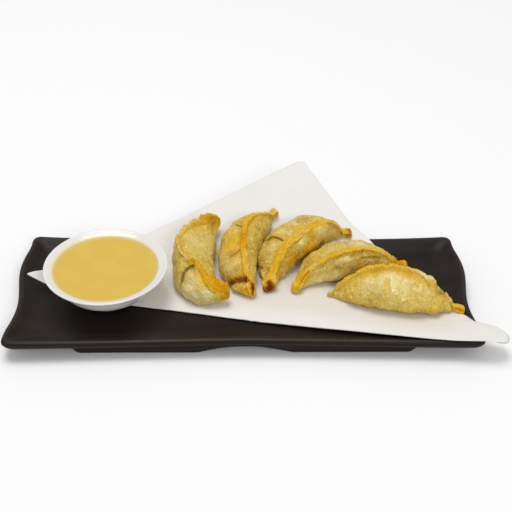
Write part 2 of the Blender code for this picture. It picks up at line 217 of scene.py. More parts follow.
def rounded_outline(radius_a: float, radius_b: float, corner: int, along_a: int, along_b: int) -> Array:
    """Points round the square from -1 to 1, with elliptic corners, from the right end of the front side.

    Args:
        radius_a: Corner radius along the first axis, as a share of its half length.
        radius_b: The same along the second axis.
        corner: Steps round each corner.
        along_a: Steps along each side that runs with the first axis.
        along_b: Steps along each side that runs with the second axis.

    Returns:
        Points x 2.
    """
    centres = np.array([(1, -1), (1, 1), (-1, 1), (-1, -1)]) * (1 - radius_a, 1 - radius_b)
    parts = []
    for index, start in enumerate((-90, 0, 90, 180)):
        turn = np.radians(start + 90 * np.arange(corner + 1) / corner)
        parts.append(centres[index] + np.stack([radius_a * np.cos(turn), radius_b * np.sin(turn)], axis=1))
        turn_next = np.radians(start + 90)
        steps = along_b if index % 2 == 0 else along_a
        edge = np.array([radius_a * np.cos(turn_next), radius_b * np.sin(turn_next)])
        share = (np.arange(1, steps) / steps)[:, None]
        parts.append(centres[index] * (1 - share) + centres[(index + 1) % 4] * share + edge)
    return np.vstack(parts)


class Ends(Enum):
    """How the first and last rows of a grid of points are treated."""

    OPEN = "left open"
    FLAT = "each closed by one flat face"
    JOINED = "joined to each other"


@dataclass
class Surface:
    """A grid of points that becomes a mesh, with values of its own for the materials to read."""

    points: Array  # rows x columns x 3, in millimetres in the plate's frame
    around: bool = True  # the last column joins the first
    ends: Ends = Ends.FLAT
    values: dict[str, Array] = field(default_factory=dict)

    def faces(self) -> tuple[Array, Array]:
        """Works out the faces: a quad between neighbours, and one flat face at each closed end.

        Returns:
            Corner indices of all faces one after another, and where each face starts.
        """
        rows, columns = self.points.shape[:2]
        index = np.arange(rows * columns).reshape(rows, columns)
        if self.around:
            index = np.hstack([index, index[:, :1]])
        if self.ends is Ends.JOINED:
            index = np.vstack([index, index[:1]])
        quads = np.stack([index[:-1, :-1], index[:-1, 1:], index[1:, 1:], index[1:, :-1]], axis=-1)
        corners, starts = [quads.reshape(-1)], [np.arange(quads.size // 4) * 4]
        if self.ends is Ends.FLAT:
            ring = np.arange(columns)
            corners += [ring[::-1], ring + (rows - 1) * columns]
            starts.append(quads.size + np.array([0, columns]))
        return np.concatenate(corners), np.concatenate(starts)


def make_piece(
    name: str, surfaces: list[Surface], material: bpy.types.Material
) -> bpy.types.Object:
    """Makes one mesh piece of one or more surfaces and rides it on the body.

    Args:
        name: The piece's name.
        surfaces: Its grids of points; all carry the same values.
        material: Its finish.

    Returns:
        The new object, at the origin.
    """
    low, high = (np.array(corner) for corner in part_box("plate"))
    middle = np.append((low + high)[:2] / 2, 0.0)
    places, corners, starts, count, loops = [], [], [], 0, 0
    for surface in surfaces:
        corner, start = surface.faces()
        places.append(surface.points.reshape(-1, 3) * MM + middle)
        corners.append(corner + count)
        starts.append(start + loops)
        count += len(places[-1])
        loops += len(corner)
    mesh = bpy.data.meshes.new(name)
    mesh.vertices.add(count)
    mesh.vertices.foreach_set("co", np.vstack(places).ravel())
    mesh.loops.add(loops)
    mesh.loops.foreach_set("vertex_index", np.concatenate(corners).astype(np.int32))
    mesh.polygons.add(sum(len(start) for start in starts))
    mesh.polygons.foreach_set("loop_start", np.concatenate(starts).astype(np.int32))
    mesh.update(calc_edges=True)
    mesh.validate()
    mesh.shade_smooth()
    for key in surfaces[0].values:
        attribute = mesh.attributes.new(key, "FLOAT", "POINT")
        grids = [np.broadcast_to(surface.values[key], surface.points.shape[:2]) for surface in surfaces]
        values = np.concatenate([grid.ravel() for grid in grids])
        attribute.data.foreach_set("value", values.astype(np.float32))
    mesh.materials.append(material)
    piece = bpy.data.objects.new(name, mesh)
    bpy.context.scene.collection.objects.link(piece)
    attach(piece, BODY)
    LOG.info("%s: %d points, %d faces", name, count, len(mesh.polygons))
    return piece


# ---------------------------------------------------------------- finishes


class Shading:
    """A node tree, with short calls that add its nodes."""

    def __init__(self, tree: bpy.types.NodeTree) -> None:
        """Keeps the tree that the nodes go in."""
        self.tree = tree

    def add(self, kind: str, inputs: dict | None = None, **settings: object) -> bpy.types.Node:
        """Adds a node.

        Args:
            kind: Its type, without the leading ShaderNode.
            inputs: Socket name or number: a constant, or the socket that feeds it.
            settings: The node's own properties.

        Returns:
            The node.
        """
        node = self.tree.nodes.new("ShaderNode" + kind)
        for key, value in settings.items():
            setattr(node, key, value)
        self.connect(node, inputs or {})
        return node

    def connect(self, node: bpy.types.Node, inputs: dict) -> None:
        """Sets or links a node's sockets.

        Args:
            node: The node.
            inputs: Socket name or number: a constant, or the socket that feeds it.
        """
        for key, value in inputs.items():
            if isinstance(value, bpy.types.NodeSocket):
                self.tree.links.new(value, node.inputs[key])
            else:
                node.inputs[key].default_value = value

    def value(self, name: str) -> bpy.types.NodeSocket:
        """The piece's own value of that name."""
        return self.add("Attribute", attribute_name=name).outputs["Fac"]

    def math(self, operation: str, *values: object, clamp: bool = False) -> bpy.types.NodeSocket:
        """A Math node of the values, which are constants or sockets."""
        node = self.add("Math", dict(enumerate(values)), operation=operation, use_clamp=clamp)
        return node.outputs[0]

    def times(self, first: object, second: object) -> bpy.types.NodeSocket:
        """The two values multiplied."""
        return self.math("MULTIPLY", first, second)

    def blend(self, share: object, first: object, second: object) -> bpy.types.NodeSocket:
        """The first colour, turning into the second as the share goes from 0 to 1.

        Args:
            share: A constant or a socket.
            first: A colour or a socket.
            second: A colour or a socket.

        Returns:
            The blended colour.
        """
        colours = [(*c, 1.0) if isinstance(c, tuple) else c for c in (first, second)]
        node = self.add("Mix", {0: share, 6: colours[0], 7: colours[1]}, data_type="RGBA")
        return node.outputs[2]

    def spread(
        self, value: object, low: float, high: float, to_low: float = 0.0, to_high: float = 1.0
    ) -> bpy.types.NodeSocket:
        """The value carried from the range low to high to the range to_low to to_high, and held there."""
        node = self.add("MapRange", {0: value, 1: low, 2: high, 3: to_low, 4: to_high}, clamp=True)
        return node.outputs[0]

    def group(self, tree: bpy.types.NodeTree, inputs: dict) -> bpy.types.Node:
        """Places a node group.

        Args:
            tree: The group.
            inputs: Socket name: a constant, or the socket that feeds it.

        Returns:
            The node that holds it.
        """
        return self.add("Group", inputs, node_tree=tree)

    def bump(self, group: bpy.types.NodeTree, place: object, sizes: tuple, depth: tuple) -> object:
        """Bumps from the group of fine relief.

        Args:
            group: The group.
            place: Where its patterns are taken.
            sizes: Scales of the coarse and the fine relief, and the share of the fine one.
            depth: The bumps' strength and distance.

        Returns:
            The bumped normal.
        """
        settings = dict(zip(("Coarse", "Fine", "Fine Share"), sizes), Vector=place)
        height = self.group(group, settings).outputs["Height"]
        node = self.add("Bump", {"Strength": depth[0], "Distance": depth[1], "Height": height})
        return node.outputs[0]


def new_group(name: str, inputs: dict[str, tuple[str, float]], outputs: tuple[str, ...]) -> tuple:
    """Starts a shader node group with named sockets.

    Args:
        name: The group's name.
        inputs: Socket name: its kind, Float or Vector, and its default.
        outputs: Names of the value sockets that it puts out.

    Returns:
        The group's tree, its Shading, its input node and its output node.
    """
    tree = bpy.data.node_groups.new(name, "ShaderNodeTree")
    for key, (kind, default) in inputs.items():
        socket = tree.interface.new_socket(key, in_out="INPUT", socket_type="NodeSocket" + kind)
        if kind == "Float":
            socket.default_value = default
    for key in outputs:
        tree.interface.new_socket(key, in_out="OUTPUT", socket_type="NodeSocketFloat")
    return tree, Shading(tree), tree.nodes.new("NodeGroupInput"), tree.nodes.new("NodeGroupOutput")


class Effects:
    """The effects that several finishes share, each a node group that is built once."""

    def __init__(self) -> None:
        """Builds the groups."""
        self.mottle = self.build_mottle()
        self.grain = self.build_grain()

    def build_mottle(self) -> bpy.types.NodeTree:
        """Two sizes of cloudy patches as masks from 0 to 1.

        Returns:
            The group.
        """
        sockets = {
            "Vector": ("Vector", 0.0), "Large": ("Float", 80.0), "Small": ("Float", 300.0),
            "Edge": ("Float", 0.12),
        }
        tree, shade, start, end = new_group("mottle", sockets, ("Large Mask", "Small Mask"))
        low = shade.math("SUBTRACT", 0.5, start.outputs["Edge"])
        high = shade.math("ADD", 0.5, start.outputs["Edge"])
        for size, mask in (("Large", "Large Mask"), ("Small", "Small Mask")):
            lattice = {"Vector": start.outputs["Vector"], "Scale": start.outputs[size], "Detail": 3.0}
            cloud = shade.add("TexNoise", lattice)
            share = shade.add("MapRange", {0: cloud.outputs["Fac"], 1: low, 2: high}, clamp=True)
            tree.links.new(share.outputs[0], end.inputs[mask])
        return tree

    def build_grain(self) -> bpy.types.NodeTree:
        """Fine relief of two sizes, as one height from 0 to 1.

        Returns:
            The group.
        """
        sockets = {
            "Vector": ("Vector", 0.0), "Coarse": ("Float", 600.0), "Fine": ("Float", 2200.0),
            "Fine Share": ("Float", 0.35),
        }
        tree, shade, start, end = new_group("fine_relief", sockets, ("Height",))
        coarse, fine = (
            shade.add(
                "TexNoise", {"Vector": start.outputs["Vector"], "Scale": start.outputs[size], "Detail": 2.0}
            )
            for size in ("Coarse", "Fine")
        )
        part = shade.times(fine.outputs["Fac"], start.outputs["Fine Share"])
        rest = shade.math("SUBTRACT", 1.0, start.outputs["Fine Share"])
        height = shade.math("MULTIPLY_ADD", coarse.outputs["Fac"], rest, part)
        tree.links.new(height, end.inputs["Height"])
        return tree


class Finish:
    """A material made of nodes; each kind fills in its own."""

    name = "finish"

    def start(self) -> tuple[bpy.types.Material, Shading, bpy.types.Node, bpy.types.NodeSocket]:
        """Starts an empty material.

        Returns:
            The material, its Shading, its Principled shader and its Object coordinates.
        """
        material = bpy.data.materials.new(self.name)
        material.use_nodes = True
        shade = Shading(material.node_tree)
        shader = material.node_tree.nodes["Principled BSDF"]
        return material, shade, shader, shade.add("TexCoord").outputs["Object"]


@dataclass(frozen=True)
class DarkGlaze(Finish):
    """Satin brown-black glaze, brushed along the plate, paler along the rim's edges: thinner glaze with a
    painted highlight.
    """

    dark: Colour = (0.0085, 0.0052, 0.0040)
    warm: Colour = (0.018, 0.0118, 0.0085)
    # paler rim edge: thinner glaze, with a painted highlight
    edge: Colour = (0.07, 0.057, 0.048)
    name: str = "dark_glaze"

    def material(self, effects: Effects) -> bpy.types.Material:
        """Builds the material.

        Args:
            effects: The shared node groups.

        Returns:
            The material.
        """
        material, shade, shader, place = self.start()
        stretched = shade.add("Mapping", {"Vector": place, "Scale": (0.09, 1.0, 1.0)}).outputs[0]
        streaks = shade.group(
            effects.mottle, {"Vector": stretched, "Large": 130.0, "Small": 900.0, "Edge": 0.22}
        )
        tone = shade.blend(streaks.outputs["Large Mask"], self.dark, self.warm)
        tone = shade.blend(shade.times(streaks.outputs["Small Mask"], 0.35), tone, self.warm)
        # the edge value paints a paler rim: thinner glaze, with a painted highlight where the rim catches
        # the light
        cloud = shade.group(effects.mottle, {"Vector": place, "Large": 22.0, "Small": 420.0, "Edge": 0.2})
        worn = shade.spread(cloud.outputs["Small Mask"], 0, 1, 0.55, 1.0)
        thin = shade.times(shade.value("edge"), worn)
        tone = shade.blend(thin, tone, self.edge)
        gloss = shade.spread(streaks.outputs["Large Mask"], 0, 1, 0.36, 0.47)
        bump = shade.bump(effects.grain, stretched, (700.0, 2600.0, 0.4), (0.16, 0.0003))
        shade.connect(shader, {
            "Base Color": tone, "Roughness": gloss, "Specular IOR Level": 0.16, "Normal": bump,
        })
        return material


@dataclass(frozen=True)
class SoftPaper(Finish):
    """Matt white tissue paper with short fibres and faint clouds, and a warm darker band of grease and
    painted shade.
    """

    white: Colour = (0.84, 0.825, 0.80)
    grey: Colour = (0.79, 0.77, 0.745)
    # grease stain, with painted shade
    oily: Colour = (0.72, 0.68, 0.60)
    name: str = "soft_paper"

    def material(self, effects: Effects) -> bpy.types.Material:
        """Builds the material.

        Args:
            effects: The shared node groups.

        Returns:
            The material.
        """
        material, shade, shader, place = self.start()
        cloud = shade.group(effects.mottle, {"Vector": place, "Large": 55.0, "Small": 500.0, "Edge": 0.2})
        tone = shade.blend(shade.times(cloud.outputs["Large Mask"], 0.5), self.white, self.grey)
        tone = shade.blend(shade.times(cloud.outputs["Small Mask"], 0.12), tone, self.grey)
        # the oil value darkens the paper: grease, with painted shade in front of the dumplings
        tone = shade.blend(shade.times(shade.value("oil_and_shade"), 0.7), tone, self.oily)
        bump = shade.bump(effects.grain, place, (900.0, 3200.0, 0.5), (0.3, 0.00025))
        shade.connect(shader, {
            "Base Color": tone, "Roughness": 0.92, "Specular IOR Level": 0.2, "Normal": bump,
            "Sheen Weight": 0.08,
        })
        return material


@dataclass(frozen=True)
class Porcelain(Finish):
    """White porcelain under a clear glaze, with a bare ring where the foot stood in the kiln."""

    white: Colour = (0.83, 0.82, 0.79)
    cool: Colour = (0.78, 0.78, 0.765)
    bare: Colour = (0.62, 0.58, 0.52)
    # yellow film of dip on the wall, with a painted reflection of the dip
    film_and_reflection: Colour = (0.80, 0.62, 0.16)
    name: str = "porcelain"

    def material(self, effects: Effects) -> bpy.types.Material:
        """Builds the material.

        Args:
            effects: The shared node groups.

        Returns:
            The material.
        """
        material, shade, shader, place = self.start()
        cloud = shade.group(effects.mottle, {"Vector": place, "Large": 45.0, "Small": 260.0, "Edge": 0.25})
        tone = shade.blend(shade.times(cloud.outputs["Large Mask"], 0.6), self.white, self.cool)
        tone = shade.blend(shade.value("bare"), tone, self.bare)
        # yellow film of dip, with a painted reflection of the dip on the wall
        tone = shade.blend(shade.value("film_and_reflection"), tone, self.film_and_reflection)
        gloss = shade.math("MAXIMUM", shade.spread(cloud.outputs["Small Mask"], 0, 1, 0.1, 0.18),
                           shade.times(shade.value("bare"), 0.7))
        bump = shade.bump(effects.grain, place, (90.0, 500.0, 0.2), (0.06, 0.0006))
        shade.connect(shader, {"Base Color": tone, "Roughness": gloss, "Normal": bump})
        return material


@dataclass(frozen=True)
class MustardDip(Finish):
    """Thick creamy mustard-yellow dip, paler where it thins against the bowl."""

    cream: Colour = (0.73, 0.50, 0.076)
    deep: Colour = (0.69, 0.455, 0.062)
    thin: Colour = (0.76, 0.60, 0.22)
    name: str = "mustard_dip"

    def material(self, effects: Effects) -> bpy.types.Material:
        """Builds the material.

        Args:
            effects: The shared node groups.

        Returns:
            The material.
        """
        material, shade, shader, place = self.start()
        swirl = shade.group(effects.mottle, {"Vector": place, "Large": 60.0, "Small": 1500.0, "Edge": 0.18})
        tone = shade.blend(swirl.outputs["Large Mask"], self.cream, self.deep)
        fleck = shade.times(swirl.outputs["Small Mask"], 0.10)
        tone = shade.blend(fleck, tone, self.deep)
        tone = shade.blend(shade.value("thin"), tone, self.thin)
        bump = shade.bump(effects.grain, place, (120.0, 1800.0, 0.25), (0.1, 0.0005))
        shade.connect(shader, {
            "Base Color": tone, "Roughness": shade.spread(swirl.outputs["Large Mask"], 0, 1, 0.26, 0.34),
            "Normal": bump, "Subsurface Weight": 0.12, "Subsurface Scale": 0.002,
            "Subsurface Radius": (1.0, 0.6, 0.2),
        })
        return material


@dataclass(frozen=True)
class FriedDough(Finish):
    """Fried dumpling skin: pale gold with creamy blisters, orange where it stands proud, burnt tips,
    painted shade in its creases and painted highlights where it glints.
    """

    pale: Colour = (0.82, 0.60, 0.10)
    gold: Colour = (0.74, 0.46, 0.014)
    # cream: blisters, pale dough and painted highlights
    cream: Colour = (0.97, 0.86, 0.42)
    # olive: filling seen through the skin, the gaps between blisters, and painted shade
    olive: Colour = (0.36, 0.215, 0.012)
    amber: Colour = (0.89, 0.50, 0.004)
    orange: Colour = (0.66, 0.24, 0.002)
    # rust and burnt: toasted and burnt dough, and painted shade in some folded creases
    rust: Colour = (0.34, 0.10, 0.003)
    burnt: Colour = (0.18, 0.028, 0.004)
    # painted shade along creases and under pleat edges
    crease_shade: Colour = (0.15, 0.075, 0.008)
    name: str = "fried_dough"

    def material(self, effects: Effects) -> bpy.types.Material:
        """Builds the material.

        Each of the skin's own values, from 0 to 1, carries the tone towards one colour, with its
        edges broken up by the mottling.

        Args:
            effects: The shared node groups.

        Returns:
            The material.
        """
        material, shade, shader, place = self.start()
        masks = self.masks(shade, place, effects)
        bare, bubble = self.bare_skin(shade, place, masks)
        toast = self.worn(shade, "toast", 0.25, masks["small"])
        burn_and_shade = self.worn(shade, "burn_and_shade", 0.35, masks["small"])
        grain = {"Vector": place, "Coarse": 850.0, "Fine": 2400.0, "Fine Share": 0.35}
        relief = shade.group(effects.grain, grain)
        height = shade.math("MULTIPLY_ADD", bubble, 0.5, relief.outputs["Height"])
        bump = shade.add("Bump", {"Strength": 1.0, "Distance": 0.001, "Height": height})
        oily = shade.spread(masks["large"], 0, 1, 0.1, 0.4)
        oily = shade.math("ADD", oily, shade.times(shade.value("pale"), 0.7))
        oily = shade.times(oily, shade.spread(toast, 0.1, 0.6, 1.0, 0.12))
        oily = shade.times(oily, shade.spread(burn_and_shade, 0.1, 0.5, 1.0, 0.05))
        shade.connect(shader, {
            "Base Color": self.fried(shade, bare, bubble, toast, burn_and_shade, masks),
            "Roughness": shade.spread(masks["fine"], 0, 1, 0.32, 0.46), "Normal": bump.outputs[0],
            "Subsurface Weight": 0.08, "Subsurface Scale": 0.0015, "Subsurface Radius": (1.0, 0.55, 0.18),
            "Specular IOR Level": 0.06, "Coat Weight": oily, "Coat Roughness": 0.1,
        })
        return material

    def masks(self, shade: Shading, place: bpy.types.NodeSocket, effects: Effects) -> dict:
        """Cloudy masks of six sizes.

        Args:
            shade: The material's Shading.
            place: Object coordinates.
            effects: The shared node groups.

        Returns:
            Name: the mask, from the largest patches to the finest specks.
        """
        sizes = ((95.0, 420.0, 0.16), (190.0, 640.0, 0.1), (900.0, 1900.0, 0.14))
        settings = [dict(zip(("Large", "Small", "Edge"), size), Vector=place) for size in sizes]
        cloud, zone, speck = (shade.group(effects.mottle, inputs).outputs for inputs in settings)
        return {
            "large": cloud["Large Mask"], "zone": zone["Large Mask"], "small": cloud["Small Mask"],
            "zone_small": zone["Small Mask"], "fine": speck["Large Mask"], "speck": speck["Small Mask"],
        }

    def bare_skin(self, shade: Shading, place: bpy.types.NodeSocket, masks: dict) -> tuple:
        """The skin before it is toasted: gold clouds, and round blisters with olive gaps between them.

        The blisters are the cells of a smooth Voronoi pattern, moved a little by noise.

        Args:
            shade: The material's Shading.
            place: Object coordinates.
            masks: The cloudy masks.

        Returns:
            The tone, and the blisters as a mask.
        """
        drift = shade.add("TexNoise", {"Vector": place, "Scale": 520.0, "Detail": 2.0}).outputs["Color"]
        moved = shade.add("VectorMath", {0: drift, 1: (0.0018,) * 3, 2: place}, operation="MULTIPLY_ADD")
        cells = shade.add("TexVoronoi", {"Vector": moved.outputs[0], "Scale": 560.0}, feature="SMOOTH_F1")
        cells.inputs["Smoothness"].default_value = 0.5
        dots = shade.spread(cells.outputs["Distance"], 0.14, 0.5, 1.0, 0.0)
        dots = shade.times(dots, shade.spread(masks["speck"], 0, 1, 0.4, 1.0))
        bubble = shade.times(dots, shade.spread(masks["zone"], 0, 1, 0.3, 1.0))
        tone = shade.blend(shade.times(masks["large"], 0.75), self.pale, self.gold)
        tone = shade.blend(shade.times(masks["small"], 0.5), tone, self.gold)
        between = shade.spread(dots, 0.0, 0.4, 0.85, 0.0)
        gaps = shade.times(between, shade.spread(masks["fine"], 0, 1, 0.2, 1.0))
        gaps = shade.times(gaps, shade.spread(masks["zone"], 0, 1, 1.0, 0.45))
        gaps = shade.times(gaps, shade.spread(masks["small"], 0, 1, 0.4, 1.0))
        tone = shade.blend(gaps, tone, self.olive)
        creamy = shade.times(masks["zone_small"], shade.spread(masks["large"], 0, 1, 0.22, 0.05))
        return shade.blend(creamy, tone, self.cream), bubble

    def worn(self, shade: Shading, name: str, amount: float, by: object) -> bpy.types.NodeSocket:
        """One of the skin's values, worn at its edges by a mask and left at 0 where it is 0.

        Args:
            shade: The material's Shading.
            name: The value's name.
            amount: How much the mask wears it.
            by: The mask.

        Returns:
            The worn value, from 0 to 1.
        """
        rough = shade.math("MULTIPLY_ADD", by, amount, -amount / 2)
        value = shade.value(name)
        near = shade.times(rough, shade.math("MULTIPLY", value, 4.0, clamp=True))
        return shade.math("ADD", value, near, clamp=True)

    def fried(
        self, shade: Shading, tone: object, bubble: object, toast: object, burn_and_shade: object, masks: dict
    ) -> bpy.types.NodeSocket:
        """The bare skin's tone, carried towards each finish in turn.

        Args:
            shade: The material's Shading.
            tone: The bare skin's tone.
            bubble: The blisters' mask.
            toast: How toasted it is.
            burn_and_shade: How burnt it is, with painted shade in some folded creases.
            masks: The cloudy masks.

        Returns:
            The finished tone.
        """
        small = masks["small"]
        creamy = shade.times(bubble, shade.spread(masks["large"], 0, 1, 0.8, 0.3))
        steps = (
            # filling seen through the skin, and painted shade under bulges and folds
            (shade.times(self.worn(shade, "herb_and_shade", 0.7, small), 0.75), self.olive),
            # pale dough, and painted highlights where the skin glints
            (shade.times(self.worn(shade, "pale", 0.6, small), 0.7), self.cream),
            (shade.times(shade.value("blister"), 0.5), self.cream),
            (creamy, self.cream),
            (shade.spread(toast, 0.05, 0.8, 0, 1.0), self.amber),
            (shade.spread(toast, 0.5, 1.05, 0, 0.85), self.orange),
            (shade.spread(toast, 1.0, 1.3, 0, 0.9), self.rust),
            # burnt tips, and painted shade in some folded creases
            (shade.spread(burn_and_shade, 0.05, 0.45, 0, 0.85), self.rust),
            (shade.spread(burn_and_shade, 0.4, 0.9, 0, 0.95), self.burnt),
            # painted shade along creases and under pleat edges
            (shade.times(shade.value("crease_shade"), 0.85), self.crease_shade),
        )
        for share, colour in steps:
            tone = shade.blend(share, tone, colour)
        return tone


# ---------------------------------------------------------------- plate


@dataclass(frozen=True)
class Plate:
    """The long dark plate: waved ends, hollowed long sides, lifted corners and a low arched foot."""

    half_length: float = 147.0
    half_depth: float = 55.7
    corner_depths: tuple = (56.3, 55.1)  # from the middle to the corners, at the front and at the back
    waist_depths: tuple = (52.1, 53.4)  # the same at the middle of the two long sides
    waist_power: float = 1.2
    end_wave: float = 2.6
    end_wave_pitch: float = 83.5
    end_wave_shift: float = -1.9
    corner_radius: float = 5.5
    corner_power: int = 5  # how closely the lift keeps to the corners
    floor: float = 8.5
    underside: float = 4.6
    rim: float = 12.4
    corner_lift: float = 2.0
    waviness: float = 0.12
    foot_half_length: float = 106.6
    foot_half_depth: float = 49.3
    foot_draft: float = 3.0
    foot_corner: float = 6.0
    foot_top: float = 6.6
    foot_end_taper: float = 0.28
    arch_half_width: float = 29.5
    arch_height: float = 5.3

    def end_reach(self, b: Array) -> Array:
        """Half length at share b of the half depth: a sine wave that fades at the corners.

        Args:
            b: Shares of the half depth, from -1 at the front to 1 at the back.

        Returns:
            The half length at each.
        """
        fade = np.clip(3.0 * (1.0 - np.abs(b)), 0.0, 1.0)
        turn = 2 * np.pi * (b * self.half_depth + self.end_wave_shift) / self.end_wave_pitch
        return self.half_length + self.end_wave * np.sin(turn) * fade

    def side_reach(self, a: Array, b: Array) -> Array:
        """Depth at share a of the half length, at the front for b below 0: a power curve to the corners."""
        waist, corner = (np.where(b < 0, *depths) for depths in (self.waist_depths, self.corner_depths))
        return waist + (corner - waist) * np.abs(a) ** self.waist_power

    def rim_inset(self, x: Array, y: Array) -> tuple[Array, Array]:
        """How far places lie inside the outline, and how far they are into a corner, from 0 to 1.

        Args:
            x: Places along the plate.
            y: Places across it.

        Returns:
            The insets, and the shares of a corner.
        """
        b = y / self.half_depth
        a = x / self.end_reach(np.clip(b, -1, 1))
        b = y / self.side_reach(np.clip(a, -1, 1), b)
        inset = np.minimum((1 - np.abs(a)) * self.half_length, (1 - np.abs(b)) * self.half_depth)
        return inset, (np.clip(np.abs(a), 0, 1) * np.clip(np.abs(b), 0, 1)) ** self.corner_power

    def dish(self) -> Surface:
        """The dish: the outline shrunk by each inset of a profile that runs from below, round the rim.

        Returns:
            Its surface, with the share of paler rim edge: thinner glaze with a painted highlight.
        """
        under, rim, floor = self.underside, self.rim, self.floor
        profile = curve_through(np.array([
            (30.0, under, 0.0), (20.0, under, 0.0), (12.0, under, 0.0), (5.0, under + 0.7, 0.2),
            (1.2, rim - 4.2, 0.5), (0.0, rim - 2.4, 0.8), (0.6, rim - 0.6, 1.0), (2.2, rim, 1.0),
            (5.0, rim - 0.7, 0.9), (9.5, rim - 2.4, 0.6), (14.5, floor + 0.35, 0.2), (20.0, floor, 0.0),
            (30.0, floor, 0.0), (45.0, floor, 0.0),
        ]), 120)
        inset, z, lift = (profile[:, k, None] for k in range(3))
        corner_shares = self.corner_radius / self.half_length, self.corner_radius / self.half_depth
        outline = rounded_outline(*corner_shares, 10, 120, 60)
        a = outline[None, :, 0] * (1 - inset / self.half_length)
        b = outline[None, :, 1] * (1 - inset / self.half_depth)
        corner = (np.abs(a) * np.abs(b)) ** self.corner_power
        height = z + lift * self.corner_lift * corner
        points = np.stack([a * self.end_reach(b), b * self.side_reach(a, b), height], axis=-1)
        points[..., 2] += self.waviness * noise(points, 26.0, 5) * smoothstep(inset / 6)
        # paler rim edge, strongest just in from the lip: thinner glaze, with a painted highlight
        edge = swell(inset, 2.2, 0.9) * smoothstep((z - rim + 0.9) / 0.8) * (0.75 - 0.5 * np.abs(a) ** 12)
        return Surface(points, values={"edge": edge})

    def foot(self) -> Surface:
        """The foot: a ring whose four edges are rounded, cut away below by two shallow arches.

        Returns:
            Its surface, with the share of worn edge.
        """
        section = curve_through(np.array([
            (0.9, 0.0), (0.25, 0.12), (0.0, 0.5), (-0.12, 1.2), (-1.0, 7.0), (-0.6, 8.2), (2.5, 7.6),
            (5.0, 6.6), (5.0, 3.0), (5.0, 0.6), (4.8, 0.14), (4.2, 0.0), (2.5, 0.0),
        ]), 60)[:, :, None]
        corner, length, depth = self.foot_corner, self.foot_half_length, self.foot_half_depth
        outline = rounded_outline(corner / length, corner / depth, 8, 120, 30)
        inset, z = section[:, 0], section[:, 1]
        grown = np.where(inset < 0, inset * self.foot_draft, inset)
        x = outline[None, :, 0] * (length - grown)
        y = outline[None, :, 1] * (depth - inset)
        share = np.clip(1 - (x / self.arch_half_width) ** 2, 0, None) ** 1.15
        across = smoothstep((np.abs(outline[None, :, 1]) - 0.7) / 0.2)
        arch = self.arch_height * share * across
        low_end = 1 - self.foot_end_taper * (1 - across)
        height = np.maximum(z * low_end, 0) + arch * np.clip(1 - z / self.foot_top, 0, 1)
        rows = np.stack([x + 0 * z, y + 0 * z, height], axis=-1)
        edge = 0.35 * swell(z, 0.2, 0.5)[::-1] + 0 * x
        return Surface(rows[::-1], ends=Ends.JOINED, values={"edge": edge})

    def build(self, finish: bpy.types.Material) -> bpy.types.Object:
        """Makes the plate in place of its CAD node.

        Args:
            finish: Its material.

        Returns:
            The piece.
        """
        piece = make_piece("glazed_plate", [self.dish(), self.foot()], finish)
        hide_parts("plate")
        return piece


# ---------------------------------------------------------------- serving paper


@dataclass(frozen=True)
class Crease:
    """A soft pressed line in the paper: a narrow valley beside a low swelling."""

    start: tuple
    end: tuple
    depth: float
    width: float  # half width of the valley

    def relief(self, x: Array, y: Array) -> Array:
        """Height that it adds: one bell less another, both fading out past the line's two ends.

        Args:
            x: Places along the plate.
            y: Places across it.

        Returns:
            The height at each place.
        """
        (x0, y0), (x1, y1) = self.start, self.end
        length = math.hypot(x1 - x0, y1 - y0)
        along = ((x - x0) * (x1 - x0) + (y - y0) * (y1 - y0)) / length**2
        off = ((y - y0) * (x1 - x0) - (x - x0) * (y1 - y0)) / length
        window = smoothstep((along + 0.15) / 0.3) * smoothstep((1.15 - along) / 0.3)
        swelling = 0.8 * swell(off, self.width * 1.8, self.width * 1.5)
        return self.depth * window * (swelling - swell(off, 0.0, self.width))


